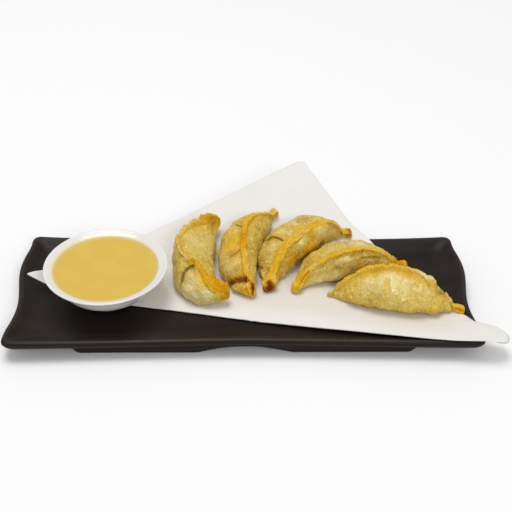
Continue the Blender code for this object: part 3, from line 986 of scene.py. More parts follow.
@dataclass(frozen=True)
class ServingPaper:
    """A square sheet folded corner to corner: two layers joined at the front fold.

    It is a stack of rows, each from the left corner's side to the right one: the first is the fold,
    whose right end is the half round nose, and the last is the back corner.
    """

    plate: Plate
    thickness: float = 1.1  # from the lower layer's underside to the upper face
    sheet: float = 0.24
    left: tuple = (-140.0, 3.0)
    front_end: tuple = (153.0, -57.35)
    nose_end: tuple = (155.5, -41.0)
    waist: tuple = (144.0, -36.5)
    knee: tuple = (84.5, 57.5)
    apex: tuple = (46.6, 122.5)
    apex_width: float = 5.5
    lift_from: tuple = ((-140.0, 7.0), (87.0, 52.0))
    lift_slope: float = 0.338
    lift_blend: float = 9.0
    curl_start: float = -108.0
    curl_rise: float = 8.0
    curl_tilt: float = 0.8
    rim_clearance: float = 0.9
    droop: float = 1.7
    droop_from: float = 148.0
    droop_run: float = 8.0
    bow: tuple = (  # how far the fold stands forward, at places along the plate
        (-140, 0), (-125, -1.0), (-100, 1.0), (-76, 3.8), (-40, 3.4), (20, 3.3), (70, 2.5), (128, 2.3),
        (141, 1.0), (150, 0.0), (162, 0.0),
    )
    bow_reach: float = 0.09  # over what share of the rows the bow fades out
    ramp_start: float = 24.0
    ramp_blend: float = 6.0
    gap: float = 0.3
    # a warm darker band in front of the dumplings: grease, with painted shade
    oil_middle: float = 62.0
    oil_half_length: float = 90.0
    oil_depth: float = 20.0
    oil_line: tuple = (-139.5, 1.5, 0.2034)  # a place on its front edge, and how fast that slants forward
    creases: tuple = (
        Crease((0.0, -31.0), (46.0, -20.0), 0.35, 0.9), Crease((-8.0, -33.0), (20.0, -30.5), 0.25, 0.8),
    )
    cockles: tuple = ((17.0, 0.16), (6.0, 0.10))  # size and height
    setback: float = 1.3  # how far the upper layer's free edges are drawn in
    fold_bulge: float = 0.45
    flat_side: float = 0.217  # of the sheet before it was folded, in metres

    COLUMNS = 220
    NOSE_STEPS = 17
    RUN_STEPS = 36
    NOSE_SHARE = 0.12  # of the left side, taken by the nose's rows
    SEED = 71

    def height(self, x: Array, y: Array) -> Array:
        """Height of the upper face: flat, then up over the rim, and lifting past a slanting crease.

        The left corner curls up by a square law and tilts, and the right end droops by a power law.

        Args:
            x: Places along the plate.
            y: Places across it.

        Returns:
            The height at each place.
        """
        inset, corner = self.plate.rim_inset(x, y)
        climb = soft_ramp(self.ramp_start - inset, self.ramp_blend)
        climb = climb / soft_ramp(self.ramp_start, self.ramp_blend)
        over_rim = (self.plate.rim - self.plate.floor + self.rim_clearance) * np.clip(climb, 0, 1)
        over_rim = over_rim + self.plate.corner_lift * corner
        (x0, y0), (x1, y1) = self.lift_from
        past = ((y - y0) * (x1 - x0) - (x - x0) * (y1 - y0)) / math.hypot(x1 - x0, y1 - y0)
        lifted = self.lift_slope * soft_ramp(past, self.lift_blend)
        curl = np.clip((self.curl_start - x) / (self.curl_start - self.left[0]), 0.0, 1.3)
        base = self.plate.floor + 2 * self.gap + self.thickness
        run = np.array(self.front_end) - self.left
        off = ((y - self.left[1]) * run[0] - (x - self.left[0]) * run[1]) / math.hypot(*run)
        droop = self.droop * np.clip((x - self.droop_from) / self.droop_run, 0.0, 1.4) ** 1.3
        curled = self.curl_rise * curl**2
        return base + np.maximum(over_rim, lifted) + curled + self.curl_tilt * curl * off - droop

    def row_ends(self) -> tuple[Array, Array]:
        """Ends of the rows: round the nose, then straight runs to the knee and the back corner.

        Returns:
            The left ends and the right ends, rows x 2.
        """
        front, nose = np.array(self.front_end), np.array(self.nose_end)
        middle, radius = (front + nose) / 2, (nose - front) / 2
        turn = np.linspace(0, np.pi, self.NOSE_STEPS)[:, None]
        outward = np.array((radius[1], -radius[0]))
        arc = middle - radius * np.cos(turn) + outward * np.sin(turn)
        bends = [np.array(place) for place in (self.waist, self.knee, self.apex)]
        steps = np.linspace(0, 1, self.RUN_STEPS)[1:, None]
        runs = [start + (end - start) * steps for start, end in zip(bends, bends[1:])]
        rights = np.vstack([arc, bends[0][None], *runs])
        nose_rows = np.linspace(0, self.NOSE_SHARE, self.NOSE_STEPS)
        other_rows = np.linspace(self.NOSE_SHARE, 1, len(rights) - self.NOSE_STEPS + 1)[1:]
        share = np.concatenate([nose_rows, other_rows])[:, None]
        left, left_end = np.array(self.left), np.array(self.apex) - (self.apex_width, 0)
        return left + (left_end - left) * share, rights

    def layer(self, drop: float, setback: float) -> Array:
        """One layer, rows from the fold to the back corner.

        Args:
            drop: How far its middle lies under the paper's upper face.
            setback: How far its free edges are drawn in.

        Returns:
            Rows x columns x 3.
        """
        lefts, rights = self.row_ends()
        run = rights - lefts
        length = np.linalg.norm(run, axis=1)[:, None]
        share = (np.arange(len(run)) / (len(run) - 1))[:, None]
        ends = setback * smoothstep(share / 0.15)
        lefts, rights = lefts + run / length * ends * 1.5, rights - run / length * ends
        across = np.linspace(0, 1, self.COLUMNS)[None, :, None]
        plan = lefts[:, None] * (1 - across) + rights[:, None] * across
        x, y = plan[..., 0], plan[..., 1] - setback * share**4
        y = y - np.interp(x, *zip(*self.bow)) * swell(share, 0.0, self.bow_reach)
        flat = np.stack([x, y, 0 * x], axis=-1)
        z = self.height(x, y) - drop
        for step, (size, rise) in enumerate(self.cockles):
            z = z + rise * noise(flat, size, self.SEED + step)
        z = z + sum(crease.relief(x, y) for crease in self.creases)
        return np.stack([x, y, z], axis=-1)

    def build(self, finish: bpy.types.Material) -> bpy.types.Object:
        """Makes the folded sheet in place of its CAD node: lower layer, round fold, upper layer.

        Args:
            finish: Its material.

        Returns:
            The piece.
        """
        half = self.sheet / 2
        lower = self.layer(self.thickness - half, 0.0)
        upper = self.layer(half, self.setback)
        turn = np.linspace(0, np.pi, 9)[1:-1, None, None]
        middle, radius = (lower[:1] + upper[:1]) / 2, (upper[:1] - lower[:1]) / 2
        away = np.array((self.left[1] - self.front_end[1], self.front_end[0] - self.left[0], 0.0))
        away = -away / np.linalg.norm(away) * self.fold_bulge
        fold = middle - radius * np.cos(turn) + away * np.sin(turn)
        points = np.vstack([lower[::-1], fold, upper])
        # the band of grease and painted shade in front of the dumplings
        inset = np.abs(points[..., 0] - self.oil_middle) / self.oil_half_length
        line_x, line_y, slant = self.oil_line
        front = (points[..., 1] + slant * (points[..., 0] - line_x) - line_y) / self.oil_depth
        oil_and_shade = smoothstep(front) * smoothstep((3.2 - front) / 1.5) * smoothstep(1.5 - inset)
        surface = Surface(points, around=False, ends=Ends.OPEN, values={"oil_and_shade": oil_and_shade})
        piece = make_piece("folded_paper", [surface], finish)
        wall = piece.modifiers.new("Sheet", "SOLIDIFY")
        wall.thickness = self.sheet * MM
        wall.offset = 0.0
        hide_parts("serving_paper")
        return piece


# ---------------------------------------------------------------- dip bowl


@dataclass(frozen=True)
class DipBowl:
    """A round porcelain dish with a flared lip on a foot ring, filled with dip to just under the lip."""

    paper: ServingPaper
    centre: tuple = (-87.9, -4.0)
    outside: tuple = (  # radius and height, from the middle of the underside to the lip
        (0.0, 1.6), (6.0, 1.6), (12.5, 1.6), (14.8, 0.9), (15.6, 0.1), (16.2, 0.0), (17.9, 0.0),
        (18.4, 0.2), (18.35, 1.6), (18.5, 3.3), (20.2, 4.1), (23.5, 5.4), (28.2, 8.8), (31.6, 13.4),
        (34.2, 17.6), (36.8, 20.6), (38.85, 22.3), (39.1, 22.9),
    )
    inside: tuple = (  # the same, from the lip down to the middle
        (38.75, 23.35), (38.0, 23.3), (36.4, 22.5), (33.2, 20.9), (30.9, 18.4), (28.8, 14.8), (25.6, 10.6),
        (19.5, 7.2), (10.5, 5.6), (4.0, 5.4), (0.0, 5.4),
    )
    level: float = 20.5  # of the dip, over the foot
    meniscus: float = 0.35
    dip_floor: float = 6.2
    film_and_reflection_turn: float = 2.5  # where the yellow film and the painted reflection of the dip are strongest, in radians

    SIDES = 180

    def base(self) -> float:
        """Height of the bowl's foot."""
        return self.paper.plate.floor + 3 * self.paper.gap + self.paper.thickness

    def turned(self, radius: Array, height: Array) -> Array:
        """Surface of revolution: the profile carried round the bowl's axis.

        Args:
            radius: The profile's distances from the axis.
            height: Its heights over the foot.

        Returns:
            Profile points x sides x 3.
        """
        turn = 2 * np.pi * np.arange(self.SIDES)[None] / self.SIDES
        x = self.centre[0] + radius[:, None] * np.cos(turn)
        y = self.centre[1] + radius[:, None] * np.sin(turn)
        return np.stack([x, y, self.base() + height[:, None] + 0 * x], axis=-1)

    def build_bowl(self, finish: bpy.types.Material) -> bpy.types.Object:
        """Makes the bowl in place of its CAD node, with a bare foot and, just over the dip, a yellow film
        of dip with a painted reflection of the dip.

        Args:
            finish: Its material.

        Returns:
            The piece.
        """
        profile = curve_through(np.array(self.outside + self.inside), 190)[1:-1]
        points = self.turned(profile[:, 0], profile[:, 1])
        bare = swell(profile[:, 1], -0.1, 0.3)[:, None] * smoothstep((profile[:, :1] - 15) / 1.0)
        inner = np.arange(len(profile)) > np.argmax(profile[:, 0])
        wet = inner * swell(profile[:, 1], self.level + 0.2, 1.0)
        turn = 2 * np.pi * np.arange(self.SIDES) / self.SIDES
        # yellow film and painted reflection of the dip, strongest on one side of the wall
        film_and_reflection = np.clip(wet[:, None] * (0.5 + 0.5 * np.cos(turn - self.film_and_reflection_turn)), 0, 1)
        values = {"bare": bare + 0 * film_and_reflection, "film_and_reflection": film_and_reflection}
        piece = make_piece("porcelain_bowl", [Surface(points, values=values)], finish)
        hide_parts("dip_bowl")
        return piece

    def build_dip(self, finish: bpy.types.Material) -> bpy.types.Object:
        """Makes the dip in place of its CAD node: up the wall, over a meniscus and in to the middle.

        Args:
            finish: Its material.

        Returns:
            The piece.
        """
        radii, heights = zip(*reversed(self.inside))
        wall = float(np.interp(self.level + self.meniscus, heights, radii))
        depths = np.array([self.dip_floor, 8.2, 11.6, 15.8, 19.0, self.level])
        sides = np.stack([np.interp(depths, heights, radii) - 0.15, depths], axis=1)
        meniscus = np.array((wall, self.level)) + (
            (-0.02, self.meniscus), (-0.4, 0.22), (-1.1, 0.06), (-2.2, 0.0), (-5.0, -0.03),
        )
        profile = curve_through(np.vstack([[(0.5, self.dip_floor)], sides, meniscus]), 70)
        inward = np.stack([np.linspace(wall - 5.3, 0.6, 70), np.full(70, self.level - 0.03)], axis=1)
        profile = np.vstack([profile, inward])
        points = self.turned(profile[:, 0], profile[:, 1])
        top = smoothstep((profile[:, 1] - self.level + 0.3) / 0.2)[:, None]
        calm = smoothstep((wall - profile[:, 0]) / 5.0)[:, None] * top
        drawn = points * (0.35, 1.0, 1.0)
        points[..., 2] += calm * (0.07 * noise(points, 15.0, 3) + 0.05 * noise(drawn, 3.5, 8))
        thin = top * smoothstep((profile[:, :1] - wall + 1.5) / 1.5)
        piece = make_piece("mustard_dip", [Surface(points, values={"thin": thin})], finish)
        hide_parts("dip_sauce")
        return piece


# ---------------------------------------------------------------- gyoza


class Mark(Enum):
    """What a patch of the skin does: each names the value that it adds to, or DENT for a hollow."""

    TOAST = "toast"
    # burnt dough, and painted shade in some folded creases
    BURN = "burn_and_shade"
    # filling seen through the skin, and painted shade under bulges and folds
    HERB_AND_SHADE = "herb_and_shade"
    # pale dough, and painted highlights where the skin glints
    PALE_AND_HIGHLIGHT = "pale"
    # painted shade along creases and under pleat edges
    SEAM = "crease_shade"
    DENT = "dent"


@dataclass(frozen=True)
class Patch:
    """A soft round patch of the skin.

    Its place round the section runs from 0 at the base, past the smooth side (1 to 5), the crest
    (6 to 12) and the pleated side (13 to 17), back to the base.
    """

    mark: Mark
    station: float
    place: float
    long: float  # reach along the dumpling, in stations
    wide: float  # reach round the section
    amount: float  # from 0 to 1, or a dent's depth in millimetres

    def field(self, s: Array, k: Array) -> Array:
        """Its strength over the skin: a bell in both directions."""
        return self.amount * swell(s, self.station, self.long) * swell(k, self.place, self.wide)


@dataclass(frozen=True)
class Stroke:
    """A line drawn on the skin through stations and places: a ridge, a groove or a fold's free edge."""

    path: tuple
    width: float  # half width in millimetres
    rise: float = 0.0  # height of the ridge, less than 0 for a groove
    step: float = 0.0  # how far the skin drops to the left of the line
    reach: float = 7.0  # over how far it climbs back
    marks: tuple = ()  # pairs of a mark and its amount

    SEGMENTS = 14

    def fields(self, points: Array, normal: Array, s: Array, k: Array) -> tuple[Array, Array]:
        """The bell round the line, and the step on its left side.

        The line is laid on the skin, and each point of the skin is measured to its nearest straight
        piece; left is seen from outside, looking along the line.

        Args:
            points: The skin.
            normal: Its outward normals.
            s: Stations, as a column.
            k: Places round the section, as a row.

        Returns:
            Two fields over the skin, from 0 to 1.
        """
        stations, places = curve_through(np.array(self.path, float) * (10, 1), self.SEGMENTS + 1).T
        row = np.interp(stations / 10, s[:, 0], np.arange(len(s)))
        column = np.interp(places, k[0], np.arange(k.shape[1]))
        low_row, low_column = row.astype(int), column.astype(int)
        next_row = np.minimum(low_row + 1, len(s) - 1)
        next_column = np.minimum(low_column + 1, k.shape[1] - 1)
        part, side = (row - low_row)[:, None], (column - low_column)[:, None]
        low_side = points[low_row, low_column] * (1 - part) + points[next_row, low_column] * part
        next_side = points[low_row, next_column] * (1 - part) + points[next_row, next_column] * part
        line = low_side * (1 - side) + next_side * side
        nearest = np.full(points.shape[:2], 1e9)
        left, along = np.zeros(points.shape[:2]), np.zeros(points.shape[:2])
        for index, (start, end) in enumerate(zip(line, line[1:])):
            run = end - start
            share = np.clip(((points - start) @ run) / (run @ run), 0, 1)
            off = points - start - share[..., None] * run
            distance = np.linalg.norm(off, axis=-1)
            closer = distance < nearest
            nearest = np.where(closer, distance, nearest)
            left = np.where(closer, (off * np.cross(normal, run)).sum(-1), left)
            along = np.where(closer, (index + share) / self.SEGMENTS, along)
        window = smoothstep(along / 0.16) * smoothstep((1 - along) / 0.16)
        signed = np.where(left > 0, nearest, -nearest)
        drop = smoothstep(signed / 0.7 + 0.5) * np.exp(-np.clip(signed, 0, None) / self.reach) * window
        return np.exp(-((nearest / self.width) ** 2)), drop


@dataclass(frozen=True)
class Gyoza:
    """One gyoza: a parcel bent to one side, with a sealed crest and a pinched ear at each end.

    Lengths are in millimetres and angles in degrees. The pleated side is the outer side of the bend,
    and stations run from -1 at the near ear to 1 at the far ear.
    """

    name: str
    node: str
    near: tuple  # plan places of the two ears
    far: tuple
    bend: float  # half the angle of the arc from ear to ear
    pleated: float  # half widths of the two sides
    smooth: float
    height: float
    crest: float
    lean: float  # how far the crest leans to the outer side
    twist: float  # how much more it does at the far end, and less at the near end
    near_ear: tuple  # how far it sways and lifts, and how thick it is
    far_ear: tuple
    fullest: float  # station of the fullest section
    near_neck: float  # stations where the parcel ends and the ears begin
    far_neck: float
    seed: int
    crest_toast: tuple  # pairs of a station and a value, as crest_share, crest_lay and teeth are
    strokes: tuple
    patches: tuple
    crest_share: tuple = ((-1, 1), (1, 1))  # of the crest's height
    crest_lay: tuple = ((-1, 0), (1, 0))  # how far it lies over
    band: float = 2.7  # how far the crest's toast reaches round the section
    crest_half: float = 1.3  # half the crest's thickness
    hem: float = 0.45  # depth of the uneven foot line
    ruffle: float = 0.7
    scallops: float = 9.0  # how many along the crest
    teeth: tuple = ((-1, 0.06), (1, 0.06))  # their depth, as a share of the crest
    lumpy: float = 1.0
    crumpled: float = 0.9
    blistered: float = 0.36
    browned: float = 0.03

    SMOOTH_SIDE = ((0.60, 0.00), (1.04, 0.06), (1.19, 0.34), (0.98, 0.68), (0.50, 0.94))
    PLEATED_SIDE = ((0.62, 0.00), (1.06, 0.06), (1.22, 0.38), (1.00, 0.74), (0.50, 0.95))
    CREST_SIDE = ((1.15, 0.12), (1.15, 0.55), (1.32, 0.98))
    CREST_TOP = 1.12
    NECK_RADIUS = 1.35
    EAR_SWELL = 0.75
    EAR_FROM, EAR_RUN = 0.82, 0.12  # stations over which an ear gets thick, rounds off and sways
    TIP_FROM, TIP_RUN = 0.95, 0.052
    SWAY_FROM, SWAY_RUN = 0.62, 0.38
    LAY_DROP = 0.32  # how far the crest sinks as it lies over
    CREST_PLACE = 9.1
    TEXTURE_FADE = 0.1  # the relief fades out over this run at each ear
    RESTING_GAP = 0.75
    STATIONS = 280
    AROUND = 270
    LUMP, BUMP, CRUMPLE = 13.0, 5.2, 8.0  # sizes of the relief, in millimetres
    BLISTER, SMALL_BLISTER, SMALL_RISE = 2.4, 1.25, 0.19

    def fullness(self, s: Array, power: float, root: float) -> Array:
        """How full the parcel is at each station: (1 - |t|^power)^root, with t from neck to neck.

        Args:
            s: Stations.
            power: How blunt its ends are.
            root: How rounded.

        Returns:
            Shares from 0 to 1.
        """
        q = s - self.fullest * (1 - s * s)
        t = np.clip(np.where(q < 0, q / self.near_neck, q / self.far_neck), -1, 1)
        return (1 - np.abs(t) ** power) ** root

    def section_controls(self, s: Array) -> tuple[Array, Array, Array, Array]:
        """Control points of the closed section at each station.

        Args:
            s: Stations, as a column.

        Returns:
            Sideways and up, each stations x 18, and the body's and the crest's heights.
        """
        away = np.abs(s)
        tip = np.sqrt(np.clip(1 - np.clip((away - self.TIP_FROM) / self.TIP_RUN, 0, 1) ** 2, 0.01, 1))
        size = np.where(s < 0, self.near_ear[2], self.far_ear[2])
        thick = self.EAR_SWELL * size * smoothstep((away - self.EAR_FROM) / self.EAR_RUN)
        stub = (self.NECK_RADIUS + thick) * tip
        smooth_width = self.smooth * self.fullness(s, 2.5, 1.05) + stub
        pleated_width = self.pleated * self.fullness(s, 2.5, 1.05) + stub
        body = self.height * self.fullness(s, 2.3, 0.95) + 1.5 * stub
        drift = np.hstack([s * 4.0, 0 * s, 0 * s])
        turn = self.scallops * (s + 0.07 * self.seed) / 2
        turn = turn + 0.35 * noise(drift, 0.7, self.seed + 19)[:, None]
        uneven = np.clip(0.9 + 1.3 * noise(drift, 0.45, self.seed + 21)[:, None], 0.1, 1.8)
        wave = 1 - self.along(self.teeth, s) * uneven * np.abs(np.sin(np.pi * turn)) ** 1.5
        crest = self.crest * tip * (1 - 0.4 * s**2) * wave * self.along(self.crest_share, s)
        half_crest = self.crest_half * tip * (1 + 0.3 * size * smoothstep((away - 0.78) / 0.18))
        across, up = [0 * s], [0 * s]
        for share_out, share_up in self.SMOOTH_SIDE:
            across.append(-share_out * smooth_width)
            up.append(share_up * body)
        for share_out, share_up in self.CREST_SIDE:
            across.append(-share_out * half_crest)
            up.append(body + share_up * crest)
        across.append(0 * s)
        up.append(body + self.CREST_TOP * crest)
        for share_out, share_up in reversed(self.CREST_SIDE):
            across.append(share_out * half_crest)
            up.append(body + share_up * crest)
        for share_out, share_up in reversed(self.PLEATED_SIDE):
            across.append(share_out * pleated_width)
            up.append(share_up * body)
        return np.hstack(across), np.hstack(up), body, crest

    def places(self) -> Array:
        """Places round the section, closest together on the two sides: even steps of a weighted length.

        Returns:
            The places, from 0 to just under 18.
        """
        fine = np.linspace(0, 18, 721)
        middle = (fine[1:] + fine[:-1]) / 2
        density = np.where((middle > 6) & (middle < 12), 0.95, 1.25)
        density = np.where((middle < 1) | (middle > 17), 0.5, density)
        along = np.concatenate([[0], np.cumsum(density)])
        return np.interp(np.linspace(0, along[-1], self.AROUND, endpoint=False), along, fine)

    def bent(self, s: Array, across: Array) -> tuple[Array, Array]:
        """Plan place of points so far across at each station, along the circular arc from ear to ear.

        Args:
            s: Stations.
            across: How far out from the arc.

        Returns:
            Places along the plate and across it.
        """
        near, far = np.array(self.near), np.array(self.far)
        half = np.linalg.norm(far - near) / 2
        along = (far - near) / (2 * half)
        outward = np.array((-along[1], along[0]))
        turn = math.radians(self.bend)
        radius = half / math.sin(turn)
        centre = (near + far) / 2 - outward * radius * math.cos(turn)
        reach = radius + across
        ray_out, ray_along = np.cos(turn * s), np.sin(turn * s)
        x = centre[0] + (outward[0] * ray_out + along[0] * ray_along) * reach
        y = centre[1] + (outward[1] * ray_out + along[1] * ray_along) * reach
        return x, y

    @staticmethod
    def along(steps: tuple, s: Array) -> Array:
        """Values at each station, blended between the given pairs of a station and a value."""
        stations, values = zip(*steps)
        return np.interp(s, stations, values)

    def skin(self, paper: ServingPaper) -> Surface:
        """The whole skin as it lies on the paper, with the values that colour it.

        Each section is a closed spline, leaned and ruffled at the crest, carried along the arc and
        set on the paper, which moulds only its lower half.

        Args:
            paper: The paper that it lies on.

        Returns:
            The finished surface.
        """
        even = np.linspace(-1, 1, self.STATIONS)
        s = (1.001 * (0.45 * even + 0.55 * np.sin(even * np.pi / 2)))[:, None]
        k = self.places()[None, :]
        across, up, body, crest = self.section_controls(s)
        across, up = closed_spline(across, k[0]), closed_spline(up, k[0])
        rise = np.clip(up / (self.height + self.crest), 0, 1.2)
        full = self.fullness(s, 2.5, 1.05)
        across = across + (self.lean + self.twist * s) * full * rise**1.4
        fin = smoothstep((up - 0.96 * body) / (0.9 * crest + 0.4))
        out = np.clip((up - body) / (crest + 0.3), 0, 1.2)
        wave = np.stack([s * 21 + 0 * k, 0 * s + 0 * k + 3.1, 0 * s + 0 * k], axis=-1)
        ruffle = noise(wave, 1.9, self.seed) + 0.5 * noise(wave, 0.8, self.seed + 1)
        across = across + self.ruffle * fin * ruffle
        lay = self.along(self.crest_lay, s)
        across = across + lay * out**1.2
        up = up - self.LAY_DROP * np.abs(lay) * out**2
        sway, lift = 0 * s, 0 * s
        for side, (ear_sway, ear_lift, _) in ((-1, self.near_ear), (1, self.far_ear)):
            turn = smoothstep((side * s - self.SWAY_FROM) / self.SWAY_RUN)
            sway, lift = sway + ear_sway * turn, lift + ear_lift * turn
        x, y = self.bent(s, across + sway)
        middle_x, middle_y = self.bent(s, sway)
        moulded = np.clip(up / (0.5 * body), 0, 1)
        ground = paper.height(x, y) * (1 - moulded) + paper.height(middle_x, middle_y) * moulded
        points = np.stack([x, y, ground + self.RESTING_GAP + up + lift], axis=-1)
        return self.textured(points, s, k, rise, fin)

    def textured(self, points: Array, s: Array, k: Array, rise: Array, fin: Array) -> Surface:
        """Adds lumps, wrinkles, blisters, dents and strokes along the normals, and the colour values.

        Args:
            points: The smooth skin.
            s: Stations, as a column.
            k: Places round the section, as a row.
            rise: Height up the dumpling, from 0 to 1.
            fin: Share of the crest fin, from 0 to 1.

        Returns:
            The finished surface.
        """
        normal = outward_normals(points)
        relief, blistered = self.dough_relief(points, s, k, rise, fin)
        values = {mark.value: np.zeros_like(rise) for mark in Mark if mark is not Mark.DENT}
        ear = smoothstep((np.abs(s) - 0.84) / 0.1)
        band = np.maximum(swell(k, self.CREST_PLACE, self.band), ear)
        values["herb_and_shade"] = self.browned * (1 + 0.8 * noise(points, 7.0, self.seed + 27))
        uneven = 0.9 + 0.25 * noise(points, 3.2, self.seed + 15)
        values["toast"] = self.along(self.crest_toast, s) * band * uneven
        for patch in self.patches:
            if patch.mark is Mark.DENT:
                relief = relief - patch.field(s, k)
            else:
                values[patch.mark.value] = values[patch.mark.value] + patch.field(s, k)
        for stroke in self.strokes:
            bell, drop = stroke.fields(points, normal, s, k)
            relief = relief + stroke.rise * bell - stroke.step * drop
            for mark, amount in stroke.marks:
                values[mark.value] = np.maximum(values[mark.value], amount * bell)
        values = {key: np.clip(value, 0, 1) for key, value in values.items()}
        values["blister"] = blistered
        free = smoothstep(rise / 0.22)[..., None]
        level = normal * (1, 1, 0) * smoothstep(rise / 0.06)[..., None]
        relief = relief * smoothstep((1.0 - np.abs(s)) / self.TEXTURE_FADE)
        points = points + (normal * free + level * (1 - free)) * relief[..., None]
        return Surface(points, values=values)

    def dough_relief(self, points: Array, s: Array, k: Array, rise: Array, fin: Array) -> tuple:
        """The fried dough's own relief: lumps, wrinkles, blisters, crest ridges and an uneven hem.

        Args:
            points: The smooth skin.
            s: Stations, as a column.
            k: Places round the section, as a row.
            rise: Height up the dumpling, from 0 to 1.
            fin: Share of the crest fin, from 0 to 1.

        Returns:
            Its height in millimetres, and how blistered each point is, from 0 to 1.
        """
        lumps = noise(points, self.LUMP, self.seed) + 0.4 * noise(points, self.BUMP, self.seed + 3)
        creases = 0.45 - np.abs(noise(points, self.CRUMPLE, self.seed + 17)) ** 0.8
        lumps = self.lumpy * lumps + self.crumpled * creases
        drawn = np.stack([s * 60 + 0 * k, 0 * s + k * 1.1, 0 * s + 0 * k], axis=-1)
        wrinkles = noise(drawn, 2.6, self.seed + 5) * smoothstep((rise - 0.45) / 0.4)
        patchy = smoothstep((noise(points, 9.0, self.seed + 9) + 0.45) / 0.5)
        dome = blisters(points, self.BLISTER, self.seed + 7) * patchy
        small = blisters(points, self.SMALL_BLISTER, self.seed + 11)
        ridges = 0.13 * np.cos(2 * np.pi * s * 26 + 3 * noise(drawn, 6.0, self.seed + 13)) * fin
        relief = lumps * (1 - 0.5 * fin) + 0.3 * wrinkles + self.blistered * dome * (1 - 0.6 * fin) + ridges
        relief = relief + self.SMALL_RISE * small - 0.3 * fin - 0.12
        round_foot = np.stack([points[..., 0], points[..., 1], 0 * rise], axis=-1)
        relief = relief + self.hem * noise(round_foot, 4.6, self.seed + 23) * smoothstep((0.4 - rise) / 0.3)
        return relief, np.clip(0.8 * dome + 0.6 * small, 0, 1)

    def build(self, paper: ServingPaper, finish: bpy.types.Material) -> bpy.types.Object:
        """Makes the dumpling in place of its CAD node.

        Args:
            paper: The paper that it lies on.
            finish: Its material.

        Returns:
            The piece.
        """
        piece = make_piece(self.name, [self.skin(paper)], finish)
        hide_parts(self.node)
        return piece


TOAST, BURN, HERB_AND_SHADE, PALE_AND_HIGHLIGHT, SEAM, DENT = Mark.TOAST, Mark.BURN, Mark.HERB_AND_SHADE, Mark.PALE_AND_HIGHLIGHT, Mark.SEAM, Mark.DENT

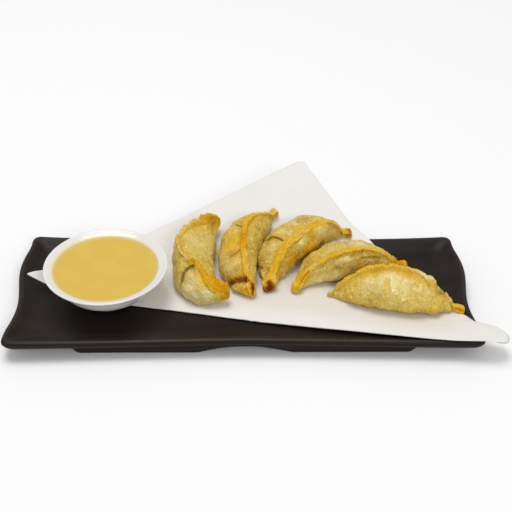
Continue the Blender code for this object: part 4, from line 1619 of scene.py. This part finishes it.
GYOZA = (
    Gyoza(
        "fried_gyoza_1", "gyoza_1", near=(-12, -22), far=(-14.5, 53), bend=68, pleated=8, smooth=15,
        height=20, crest=7.5, lean=3.5, twist=7.5, near_ear=(-7, 4.6, 1.5), far_ear=(4.2, 6.2, 1.5),
        fullest=0.0, near_neck=0.98, far_neck=1.0, seed=11, band=2.4, ruffle=0.9, scallops=15.0,
        teeth=((-1, 0.08), (-0.1, 0.08), (0.1, 0.3), (0.75, 0.25), (0.85, 0.05)),
        crest_share=((-1, 1), (-0.36, 1), (-0.26, 0.35), (-0.04, 0.4), (0.08, 0.7), (0.3, 0.5),
                     (0.5, 0.65), (0.62, 0.95), (0.74, 1.15), (0.84, 0.75), (0.92, 0.3), (1, 0.15)),
        crest_lay=((-1, -1.0), (-0.75, -4.0), (-0.45, -4.5), (-0.2, 0), (0.1, 2.0), (0.6, 1.5), (0.8, 0)),
        crest_toast=((-1, 0.9), (-0.85, 0.9), (-0.6, 0.85), (-0.38, 0.7), (-0.25, 0.15), (0, 0.1),
                     (0.3, 0.2), (0.55, 0.3), (0.75, 0.55), (1, 0.65)),
        strokes=(
            # pleat edges that drop a step, with painted shade under them
            Stroke(((-0.42, 10.8), (-0.36, 13.0), (-0.38, 13.9), (-0.4, 14.8)), 0.6, step=2.0,
                   marks=((SEAM, 1.0),)),
            Stroke(((-0.86, 13.7), (-0.79, 13.1), (-0.7, 11.7), (-0.6, 10.9), (-0.45, 10.5), (-0.36, 9.8)),
                   0.5, step=1.1, reach=4.0, marks=((SEAM, 0.3),)),
            Stroke(((-0.36, 9.4), (-0.56, 9.2), (-0.72, 9.6), (-0.86, 10.2), (-0.97, 10.0)), 5.0,
                   marks=((TOAST, 0.8),)),
            Stroke(((-0.58, 10.0), (-0.7, 10.8), (-0.82, 12.2), (-0.9, 12.6)), 2.6,
                   marks=((TOAST, 0.8),)),
            Stroke(((-0.7, 8.6), (-0.84, 9.6), (-0.94, 10.0)), 2.2, rise=0.5, marks=((TOAST, 1.0),)),
            Stroke(((-0.6, 5.2), (-0.72, 4.8), (-0.86, 4.6)), 2.4, marks=((TOAST, 0.45),)),
            Stroke(((-0.26, 13.2), (-0.31, 14.2), (-0.36, 15.2)), 1.6, rise=0.5, marks=((TOAST, 0.35),)),
            Stroke(((0.74, 5.8), (0.49, 6.4), (0.3, 6.7), (0.0, 8.0)), 0.8, rise=-0.5,
                   marks=((TOAST, 0.3),)),
        ),
        patches=(
            Patch(DENT, 0.83, 7.4, 0.07, 2.4, -1.9), Patch(TOAST, 0.84, 7.0, 0.035, 0.8, 0.7),
            Patch(TOAST, 0.8, 8.4, 0.12, 3.0, 0.4), Patch(DENT, 0.87, 5.0, 0.06, 2.2, 3.2),
            Patch(DENT, 0.77, 4.2, 0.08, 1.6, 1.6), Patch(DENT, -0.12, 14.2, 0.3, 1.6, 2.8),
            Patch(DENT, 0.92, 3.2, 0.07, 1.5, 4.2), Patch(DENT, 0.08, 14.8, 0.16, 1.4, 1.5),
            # the pale patches from -0.53 to -0.76, 13.9 to 14.8, are painted highlights on the belly's
            # glints
            Patch(DENT, -0.92, 15.2, 0.07, 1.6, 1.4), Patch(PALE_AND_HIGHLIGHT, -0.53, 14.6, 0.03, 0.5, 1.0),
            Patch(DENT, -0.53, 14.7, 0.05, 0.8, -0.8), Patch(PALE_AND_HIGHLIGHT, -0.66, 14.6, 0.03, 0.4, 1.0),
            Patch(TOAST, -0.88, 11.7, 0.05, 1.0, 0.35), Patch(PALE_AND_HIGHLIGHT, -0.62, 14.6, 0.2, 1.8, 0.65),
            Patch(HERB_AND_SHADE, 0.14, 4.1, 0.07, 0.7, 0.5), Patch(HERB_AND_SHADE, 0.39, 4.7, 0.06, 0.6, 0.4),
            # the patch at -0.54, 13.6 is olive painted shade on the belly
            Patch(HERB_AND_SHADE, -0.15, 3.6, 0.1, 0.7, 0.35), Patch(HERB_AND_SHADE, -0.54, 13.6, 0.06, 0.6, 0.45),
            Patch(PALE_AND_HIGHLIGHT, -0.54, 14.8, 0.07, 0.9, 0.9), Patch(PALE_AND_HIGHLIGHT, -0.76, 13.9, 0.07, 0.9, 0.8),
            Patch(PALE_AND_HIGHLIGHT, 0.3, 4.6, 0.25, 1.4, 0.4), Patch(PALE_AND_HIGHLIGHT, -0.5, 12.6, 0.1, 1.0, 0.4),
        ),
    ),
    Gyoza(
        "fried_gyoza_2", "gyoza_2", near=(4.8, -10.2), far=(26.5, 69.5), bend=43, pleated=12.5,
        smooth=8.5, height=19, crest=4.5, lean=-0.5, twist=4, near_ear=(-1, 1, 1),
        far_ear=(3.5, 0.2, 1.6), fullest=-0.04, near_neck=0.98, far_neck=0.88, seed=23, band=3.2,
        crest_half=1.8, browned=0.16,
        crest_share=((-1, 1), (-0.5, 1.1), (-0.2, 1.2), (0.1, 0.9), (0.5, 0.6), (0.75, 0.85), (0.88, 0.6),
                     (1, 0.3)),
        crest_toast=((-1, 0.6), (-0.9, 0.6), (-0.6, 0.55), (-0.4, 0.8), (-0.28, 0.95), (-0.1, 0.85),
                     (0.2, 0.55), (0.6, 0.5), (0.85, 0.5), (1, 0.55)),
        strokes=(
            Stroke(((0.04, 10.2), (0.12, 12.4), (0.17, 13.4)), 0.5, step=1.2, reach=5.0,
                   marks=((SEAM, 0.7),)),
            Stroke(((0.13, 9.0), (0.22, 12.6), (0.26, 13.9)), 1.3, rise=0.5, marks=((TOAST, 0.35),)),
            Stroke(((-0.42, 13.4), (-0.42, 12.8), (-0.4, 12.0)), 0.5, rise=-0.6, marks=((SEAM, 0.45),)),
            # the lower fold's crease: a groove with painted shade
            Stroke(((-0.69, 15.5), (-0.75, 14.4), (-0.8, 13.0), (-0.85, 11.0)), 2.2, rise=-1.8,
                   marks=((BURN, 0.7),)),
            Stroke(((-0.86, 10.4), (-0.84, 11.8), (-0.79, 13.8), (-0.72, 15.4)), 0.5, step=0.9, reach=4.0,
                   marks=((SEAM, 0.75),)),
            Stroke(((0.04, 7.0), (-0.2, 7.2), (-0.5, 7.4)), 0.6, rise=-0.4, marks=((SEAM, 0.2),)),
            Stroke(((0.7, 7.8), (0.59, 7.5), (0.39, 6.8), (0.15, 7.9), (0.0, 8.9)), 2.6,
                   marks=((TOAST, 0.5),)),
        ),
        patches=(
            Patch(BURN, -0.97, 8.5, 0.06, 0.55, 1.0), Patch(TOAST, -0.88, 14.4, 0.06, 1.6, 0.35),
            Patch(DENT, -0.88, 14.2, 0.05, 1.2, -0.9), Patch(DENT, -0.78, 15.5, 0.09, 1.3, -2.3),
            Patch(DENT, -0.94, 10.4, 0.05, 0.7, -0.8), Patch(BURN, -0.22, 9.3, 0.1, 1.4, 0.2),
            Patch(HERB_AND_SHADE, -0.42, 13.2, 0.06, 0.8, 0.9), Patch(DENT, -0.42, 13.0, 0.05, 0.8, 1.3),
            # the first patch is olive painted shade under the lower fold's bulge
            Patch(HERB_AND_SHADE, -0.7, 14.4, 0.05, 1.4, 0.8), Patch(TOAST, -0.74, 13.6, 0.04, 1.6, 0.4),
            Patch(TOAST, -0.28, 12.9, 0.12, 1.0, 0.3), Patch(TOAST, 0.0, 13.6, 0.08, 0.8, 0.25),
            Patch(TOAST, 0.92, 4.4, 0.04, 1.5, 0.5), Patch(HERB_AND_SHADE, -0.1, 4.4, 0.2, 0.8, 0.35),
            Patch(HERB_AND_SHADE, 0.3, 4.0, 0.15, 0.8, 0.4), Patch(PALE_AND_HIGHLIGHT, -0.58, 13.6, 0.1, 1.0, 0.35),
            Patch(PALE_AND_HIGHLIGHT, 0.1, 13.6, 0.08, 0.6, 0.3), Patch(PALE_AND_HIGHLIGHT, -0.35, 14.2, 0.1, 0.8, 0.3),
            Patch(DENT, -0.62, 13.2, 0.08, 1.0, -0.8), Patch(DENT, 0.0, 13.4, 0.1, 1.0, -0.6),
        ),
    ),
    Gyoza(
        "fried_gyoza_3", "gyoza_3", near=(20.4, -3.4), far=(76.5, 54), bend=55, pleated=15.5, smooth=10.5,
        height=18, crest=4.5, lean=-9.5, twist=-2.5, near_ear=(4, 0, 2.6), far_ear=(-1, -1, 1.4),
        fullest=0.09, near_neck=0.92, far_neck=0.83, seed=37, band=3.0, crest_half=2.4, lumpy=1.4,
        browned=0.17,
        crest_share=((-1, 1), (-0.35, 0.9), (-0.15, 0.3), (0.2, 0.15), (0.5, 0.25), (0.75, 0.9),
                     (0.88, 0.6), (1, 0.3)),
        crest_lay=((-1, 0), (-0.5, -0.5), (0.0, -1.0), (0.5, -0.5), (1, 0)),
        crest_toast=((-1, 0.5), (-0.9, 0.6), (-0.55, 0.65), (-0.33, 0.6), (0, 0.3), (0.3, 0.25),
                     (0.55, 0.35), (0.8, 0.45), (0.93, 0.8), (1, 0.9)),
        strokes=(
            Stroke(((-0.31, 12.1), (-0.25, 13.0), (-0.22, 13.7), (-0.25, 14.5)), 0.42, step=1.6,
                   marks=((SEAM, 1.0),)),
            Stroke(((-0.26, 12.2), (-0.17, 13.4), (-0.15, 14.2), (-0.19, 14.9)), 1.3, rise=0.6,
                   marks=((TOAST, 0.4),)),
            Stroke(((-0.2, 12.3), (-0.11, 13.5), (-0.1, 14.2), (-0.14, 14.8)), 0.4, rise=-0.3,
                   marks=((SEAM, 0.3),)),
            # a fold's crease: a groove with painted shade
            Stroke(((-0.62, 14.8), (-0.7, 13.8), (-0.76, 12.4)), 1.6, rise=-1.0, marks=((BURN, 0.3),)),
            Stroke(((-0.3, 10.4), (-0.5, 9.0), (-0.62, 9.2), (-0.75, 9.0)), 2.1, rise=0.5,
                   marks=((TOAST, 0.7),)),
            Stroke(((-0.66, 5.8), (-0.74, 5.0), (-0.82, 4.2), (-0.88, 4.0)), 1.4, rise=0.9,
                   marks=((TOAST, 0.55),)),
            Stroke(((-0.69, 14.4), (-0.78, 14.2), (-0.88, 13.4)), 1.2, rise=0.7, marks=((TOAST, 0.35),)),
            Stroke(((-0.22, 9.1), (0.0, 8.0), (0.25, 6.8), (0.51, 5.4)), 4.0, rise=0.5,
                   marks=((TOAST, 0.4),)),
            Stroke(((-0.27, 9.2), (-0.16, 9.0), (-0.03, 8.6)), 0.5, rise=-0.4, marks=((SEAM, 0.3),)),
        ),
        patches=(
            Patch(BURN, -0.95, 9.0, 0.06, 0.4, 1.0), Patch(BURN, -1.0, 9.0, 0.014, 3.0, 1.0),
            Patch(BURN, -0.985, 2.6, 0.03, 1.2, 0.9), Patch(BURN, -0.985, 15.4, 0.03, 1.2, 0.9),
            Patch(DENT, -0.93, 9.1, 0.09, 0.7, 1.8), Patch(DENT, -0.86, 13.6, 0.07, 1.6, -1.4),
            Patch(HERB_AND_SHADE, -0.4, 3.6, 0.25, 1.0, 0.45), Patch(BURN, -0.35, 3.5, 0.2, 1.1, 0.15),
            Patch(TOAST, 0.02, 11.6, 0.06, 1.0, 0.45), Patch(TOAST, 0.3, 9.6, 0.12, 1.5, 0.4),
            # these pale patches are painted highlights on glints of the top and flank
            Patch(PALE_AND_HIGHLIGHT, 0.08, 13.0, 0.04, 0.5, 0.7), Patch(PALE_AND_HIGHLIGHT, 0.27, 5.0, 0.07, 0.9, 0.8),
            Patch(PALE_AND_HIGHLIGHT, -0.05, 5.7, 0.1, 0.7, 0.6), Patch(BURN, 0.3, 3.2, 0.04, 0.4, 0.45),
            Patch(TOAST, -0.1, 3.2, 0.14, 0.7, 0.5), Patch(DENT, 0.27, 5.0, 0.08, 1.0, -1.2),
            Patch(DENT, 0.5, 4.8, 0.06, 1.2, -1.0), Patch(BURN, 0.97, 7.5, 0.05, 4.0, 0.4),
            Patch(HERB_AND_SHADE, 0.79, 5.6, 0.05, 1.5, 0.25), Patch(BURN, 0.39, 3.0, 0.035, 0.45, 0.6),
            Patch(TOAST, 0.1, 4.8, 0.06, 0.6, 0.35), Patch(TOAST, -0.12, 4.0, 0.08, 0.7, 0.3),
            Patch(TOAST, -0.45, 3.8, 0.15, 1.2, 0.45), Patch(TOAST, 0.15, 3.0, 0.35, 0.9, 0.6),
            Patch(HERB_AND_SHADE, 0.0, 2.8, 0.5, 0.6, 0.3), Patch(PALE_AND_HIGHLIGHT, -0.2, 5.1, 0.06, 0.6, 0.9),
            Patch(PALE_AND_HIGHLIGHT, 0.38, 4.4, 0.08, 0.7, 0.7), Patch(PALE_AND_HIGHLIGHT, -0.11, 13.2, 0.06, 0.8, 0.7),
            Patch(PALE_AND_HIGHLIGHT, -0.42, 13.2, 0.1, 0.8, 0.35), Patch(HERB_AND_SHADE, -0.54, 13.6, 0.07, 0.7, 0.5),
            Patch(HERB_AND_SHADE, 0.25, 13.2, 0.12, 0.5, 0.5), Patch(HERB_AND_SHADE, 0.3, 9.6, 0.12, 1.2, 0.4),
            Patch(DENT, -0.2, 5.0, 0.08, 0.8, -0.9), Patch(DENT, 0.38, 4.4, 0.1, 0.9, -0.9),
            Patch(DENT, 0.1, 4.4, 0.05, 0.9, 0.9), Patch(DENT, -0.42, 13.4, 0.1, 1.0, -0.8),
        ),
    ),
    Gyoza(
        "fried_gyoza_4", "gyoza_4", near=(32.5, -5.5), far=(108.5, 15), bend=45, pleated=15.5, smooth=11,
        height=19, crest=5, lean=-10.5, twist=1.5, near_ear=(0.5, 0, 1), far_ear=(3.5, 0, 0.8),
        fullest=0.1, near_neck=0.88, far_neck=0.82, seed=41, band=2.8, crest_half=1.7, lumpy=1.3,
        browned=0.15,
        crest_share=((-1, 1), (-0.6, 0.6), (-0.3, 0.55), (0.0, 0.65), (0.5, 0.65), (0.75, 1.0),
                     (0.95, 1.2), (1, 1)),
        crest_toast=((-1, 0.6), (-0.85, 0.6), (-0.6, 0.35), (-0.45, 0.45), (-0.25, 0.6), (0, 0.65),
                     (0.3, 0.6), (0.5, 0.45), (0.7, 0.5), (0.9, 0.7), (1, 0.7)),
        strokes=(
            Stroke(((-0.51, 8.8), (-0.3, 8.4), (0.03, 8.4), (0.27, 7.8), (0.5, 6.4)), 1.7, rise=0.4,
                   marks=((TOAST, 0.6),)),
            Stroke(((-0.42, 7.4), (-0.14, 7.0), (0.02, 7.0), (0.25, 6.4)), 0.5, rise=-0.5,
                   marks=((SEAM, 0.35),)),
            Stroke(((-0.99, 9.4), (-0.9, 9.8), (-0.75, 10.2)), 1.0, rise=1.2, marks=((TOAST, 0.75),)),
            Stroke(((-0.99, 7.6), (-0.85, 8.3), (-0.7, 8.6)), 0.7, rise=-1.6, marks=((TOAST, 1.0),)),
            Stroke(((-0.97, 5.5), (-0.88, 6.8), (-0.72, 7.2)), 1.0, rise=1.1, marks=((TOAST, 0.7),)),
            Stroke(((0.22, 4.9), (0.45, 5.1), (0.6, 5.3)), 0.8, rise=-0.9, marks=((SEAM, 0.55),)),
            Stroke(((-0.3, 11.6), (0.1, 12.2), (0.45, 11.8)), 0.6, rise=-0.5, marks=((TOAST, 0.3),)),
            Stroke(((0.62, 9.5), (0.78, 9.6), (0.95, 9.4)), 1.0, rise=0.4, marks=((TOAST, 0.6),)),
        ),
        patches=(
            Patch(HERB_AND_SHADE, -0.29, 4.4, 0.1, 0.8, 0.65), Patch(HERB_AND_SHADE, -0.56, 4.2, 0.05, 0.6, 0.5),
            Patch(HERB_AND_SHADE, 0.04, 3.7, 0.09, 0.7, 0.8), Patch(HERB_AND_SHADE, 0.33, 4.2, 0.1, 0.8, 0.7),
            Patch(TOAST, 0.2, 4.4, 0.045, 0.7, 0.3), Patch(TOAST, -0.15, 3.6, 0.08, 0.5, 0.2),
            Patch(PALE_AND_HIGHLIGHT, -0.18, 5.2, 0.14, 0.5, 0.85), Patch(PALE_AND_HIGHLIGHT, -0.62, 3.1, 0.18, 1.0, 0.8),
            Patch(PALE_AND_HIGHLIGHT, -0.3, 2.9, 0.15, 0.7, 0.7), Patch(PALE_AND_HIGHLIGHT, 0.24, 12.9, 0.14, 0.7, 0.6),
            Patch(PALE_AND_HIGHLIGHT, -0.2, 12.9, 0.12, 0.6, 0.4), Patch(HERB_AND_SHADE, 0.05, 13.3, 0.06, 0.6, 0.3),
            Patch(TOAST, 0.86, 8.0, 0.08, 3.0, 0.5), Patch(HERB_AND_SHADE, -0.53, 12.6, 0.1, 0.8, 0.3),
            Patch(DENT, -0.29, 4.3, 0.1, 0.9, 0.7), Patch(DENT, 0.06, 3.8, 0.08, 0.8, 0.8),
            Patch(DENT, -0.1, 5.0, 0.06, 0.6, -0.6), Patch(DENT, 0.2, 13.2, 0.07, 1.0, -0.7),
            Patch(DENT, -0.1, 13.3, 0.07, 1.0, -0.6), Patch(DENT, 0.5, 13.2, 0.15, 1.5, 1.4),
            Patch(HERB_AND_SHADE, 0.49, 4.7, 0.08, 0.7, 0.6), Patch(HERB_AND_SHADE, 0.18, 4.2, 0.06, 0.6, 0.5),
            Patch(DENT, 0.2, 4.2, 0.05, 0.7, 0.8),
        ),
    ),
    Gyoza(
        "fried_gyoza_5", "gyoza_5", near=(54, -8.5), far=(139.5, -26.3), bend=16, pleated=13.5,
        smooth=12.5, height=19.5, crest=5, lean=2, twist=-1.5, near_ear=(1.5, -0.4, 0.0),
        far_ear=(-1, -1.2, 0.8), fullest=-0.03, near_neck=0.93, far_neck=0.84, seed=53, band=2.6,
        scallops=11.0, ruffle=1.0, lumpy=1.2, hem=1.2, crumpled=1.2,
        teeth=((-1, 0.16), (1, 0.16)),
        crest_share=((-1, 0.0), (-0.92, 0.3), (-0.8, 1.0), (0.3, 1.0), (0.42, 1.15), (0.53, 1.55),
                     (0.575, 0.1), (0.63, 0.0), (0.69, 1.1), (0.76, 1.0), (0.85, 0.65), (0.94, 0.7),
                     (1, 0.4)),
        crest_toast=((-1, 0.3), (-0.75, 0.45), (-0.45, 0.6), (-0.25, 0.6), (0, 0.55), (0.12, 0.4),
                     (0.25, 0.0), (0.55, 0.0), (0.75, 0.15), (0.88, 0.45), (1, 0.6)),
        strokes=(
            Stroke(((-0.85, 8.6), (-0.64, 7.0), (-0.4, 6.8), (-0.13, 6.8), (0.12, 6.5), (0.31, 6.2),
                    (0.5, 6.0)), 2.2, marks=((TOAST, 0.5),)),
            Stroke(((-0.78, 5.6), (-0.5, 5.8), (-0.3, 5.5), (-0.1, 5.9), (0.1, 5.6), (0.35, 5.6)), 0.8,
                   rise=-0.4, marks=((TOAST, 0.25),)),
            Stroke(((0.21, 4.9), (0.24, 4.1), (0.33, 3.5)), 1.2, rise=-0.9, marks=((TOAST, 0.18),)),
            Stroke(((0.05, 7.7), (0.2, 7.3), (0.36, 6.6), (0.44, 5.8)), 0.8, rise=-0.5,
                   marks=((TOAST, 0.55),)),
            Stroke(((0.44, 5.8), (0.54, 4.8), (0.61, 3.8)), 0.8, rise=-0.7, marks=((TOAST, 0.25),)),
            Stroke(((0.8, 7.2), (0.88, 6.4), (0.97, 5.2)), 0.8, rise=-1.1, marks=((TOAST, 1.0),)),
            Stroke(((-0.74, 5.2), (-0.7, 4.2), (-0.66, 3.4)), 0.8, rise=-0.7, marks=((TOAST, 0.3),)),
        ),
        patches=(
            Patch(TOAST, 0.1, 6.1, 0.05, 0.6, 0.3), Patch(TOAST, 0.36, 3.2, 0.08, 0.5, 0.3),
            # the pale patch at -0.1, 5.9 is a painted highlight on glints below the crest
            Patch(PALE_AND_HIGHLIGHT, 0.0, 4.6, 0.45, 1.4, 0.3), Patch(PALE_AND_HIGHLIGHT, -0.1, 5.9, 0.1, 0.8, 0.7),
            Patch(PALE_AND_HIGHLIGHT, 0.38, 7.8, 0.17, 1.5, 0.9), Patch(DENT, 0.6, 8.8, 0.045, 3.0, 2.6),
            Patch(DENT, 0.85, 9.0, 0.03, 3.0, -1.2), Patch(HERB_AND_SHADE, -0.42, 4.4, 0.05, 0.7, 0.4),
            Patch(PALE_AND_HIGHLIGHT, 0.12, 4.8, 0.08, 0.7, 0.6), Patch(PALE_AND_HIGHLIGHT, 0.43, 5.0, 0.08, 0.8, 0.5),
            Patch(PALE_AND_HIGHLIGHT, -0.45, 4.6, 0.12, 0.8, 0.4), Patch(HERB_AND_SHADE, -0.97, 6.4, 0.04, 3.0, 0.8),
            Patch(HERB_AND_SHADE, -0.4, 3.6, 0.1, 0.6, 0.3), Patch(TOAST, 0.93, 6.0, 0.05, 3.0, 0.4),
            Patch(DENT, -0.165, 4.7, 0.04, 0.55, 2.3), Patch(TOAST, -0.165, 4.6, 0.03, 0.45, 0.3),
            Patch(DENT, -0.17, 4.8, 0.13, 1.1, -1.6), Patch(PALE_AND_HIGHLIGHT, -0.26, 4.9, 0.05, 0.7, 0.9),
            Patch(PALE_AND_HIGHLIGHT, -0.07, 4.8, 0.05, 0.7, 0.9), Patch(PALE_AND_HIGHLIGHT, -0.18, 5.5, 0.07, 0.3, 0.9),
            Patch(DENT, 0.36, 3.2, 0.08, 0.6, -1.4), Patch(DENT, -0.62, 3.2, 0.06, 0.6, -1.0),
            Patch(DENT, -0.34, 3.0, 0.05, 0.5, -0.8), Patch(DENT, 0.1, 4.8, 0.09, 0.8, -0.9),
            Patch(DENT, 0.62, 3.3, 0.06, 0.6, -0.8), Patch(DENT, -0.05, 2.9, 0.06, 0.5, -0.8),
        ),
    ),
)


# ---------------------------------------------------------------- studio


@dataclass(frozen=True)
class SoftLight:
    """A square soft light that points at one place, in metres and watts."""

    name: str
    place: tuple
    size: float
    power: float
    target: tuple = (0.0, 0.0, 0.02)

    def build(self) -> None:
        """Makes the light: its -Z axis points from its place at the target."""
        lamp = bpy.data.lights.new(self.name, "AREA")
        lamp.shape = "SQUARE"
        lamp.size = self.size
        lamp.energy = self.power
        light = bpy.data.objects.new(self.name, lamp)
        back = np.array(self.place, float) - np.array(self.target, float)
        back /= np.linalg.norm(back)
        right = np.cross((0.0, 0.0, 1.0), back)
        right /= np.linalg.norm(right)
        axes = np.stack([right, np.cross(back, right), back], axis=1)
        matrix = np.eye(4)
        matrix[:3, :3], matrix[:3, 3] = axes, self.place
        light.matrix_world = Matrix(matrix.tolist())
        bpy.context.scene.collection.objects.link(light)


@dataclass(frozen=True)
class Studio:
    """Plain pale floor, soft lights and the camera."""

    focal_length: float = 61.1994  # in millimetres
    sensor_width: float = 36.0
    pitch: float = 37.157  # angles in degrees; the pitch is how far the camera looks down
    yaw: float = 2.09
    roll: float = 1.267
    place: tuple = (-8.821, -441.657, 372.583)  # of the camera, in the plate's frame
    sky: float = 0.5
    floor_half: float = 6.0  # in metres
    lights: tuple = (
        SoftLight("key_light", (-0.3, 0.35, 2.2), 1.2, 24.5),
        SoftLight("fill_light", (0.7, -1.7, 1.3), 0.5, 9.0),
    )

    def build_floor(self) -> None:
        """A wide pale floor under the plate's foot."""
        material = bpy.data.materials.new("studio_floor")
        material.use_nodes = True
        shader = material.node_tree.nodes["Principled BSDF"]
        shader.inputs["Base Color"].default_value = (0.95, 0.95, 0.95, 1.0)
        shader.inputs["Roughness"].default_value = 0.9
        shader.inputs["Specular IOR Level"].default_value = 0.1
        side = self.floor_half
        corners = [(-side, -side, 0), (side, -side, 0), (side, side, 0), (-side, side, 0)]
        mesh = bpy.data.meshes.new("studio_floor")
        mesh.from_pydata(corners, [], [(0, 1, 2, 3)])
        mesh.materials.append(material)
        floor = bpy.data.objects.new("studio_floor", mesh)
        bpy.context.scene.collection.objects.link(floor)

    def build_camera(self) -> None:
        """The camera, from its pitch, yaw and roll, at its place in the plate's frame."""
        low, high = (np.array(corner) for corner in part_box("plate"))
        pitch, yaw, roll = (math.radians(angle) for angle in (self.pitch, self.yaw, self.roll))
        level = math.cos(pitch)
        ahead = np.array([math.sin(yaw) * level, math.cos(yaw) * level, -math.sin(pitch)])
        right = np.cross(ahead, (0, 0, 1))
        right /= np.linalg.norm(right)
        up = np.cross(right, ahead)
        cosine, sine = math.cos(roll), math.sin(roll)
        right, up = right * cosine + up * sine, up * cosine - right * sine
        matrix = np.eye(4)
        matrix[:3, :3] = np.stack([right, up, -ahead], axis=1)
        matrix[:3, 3] = np.array(self.place) * MM + np.append((low + high)[:2] / 2, 0.0)
        data = bpy.data.cameras.new("camera")
        data.sensor_width = self.sensor_width
        data.lens = self.focal_length
        data.clip_start = 0.01
        camera = bpy.data.objects.new("camera", data)
        camera.matrix_world = Matrix(matrix.tolist())
        bpy.context.scene.collection.objects.link(camera)
        bpy.context.scene.camera = camera

    def build(self) -> None:
        """Makes the floor, the even sky, the lights and the camera."""
        scene = bpy.context.scene
        scene.view_settings.view_transform = "Standard"
        scene.view_settings.look = "None"
        world = bpy.data.worlds.new("studio_sky")
        world.use_nodes = True
        background = world.node_tree.nodes["Background"]
        background.inputs["Color"].default_value = (1.0, 1.0, 1.0, 1.0)
        background.inputs["Strength"].default_value = self.sky
        scene.world = world
        self.build_floor()
        for light in self.lights:
            light.build()
        self.build_camera()
        LOG.info("studio: floor, sky, %d lights and camera", len(self.lights))


def main() -> None:
    """Builds every piece in order."""
    logging.basicConfig(level=logging.INFO, format="%(name)s: %(message)s")
    effects = Effects()
    Studio().build()
    plate = Plate()
    paper = ServingPaper(plate)
    bowl = DipBowl(paper)
    plate.build(DarkGlaze().material(effects))
    paper_piece = paper.build(SoftPaper().material(effects))
    bowl.build_bowl(Porcelain().material(effects))
    bowl.build_dip(MustardDip().material(effects))
    dough = FriedDough().material(effects)
    for gyoza in GYOZA:
        gyoza.build(paper, dough)


if __name__ == "__main__":
    main()
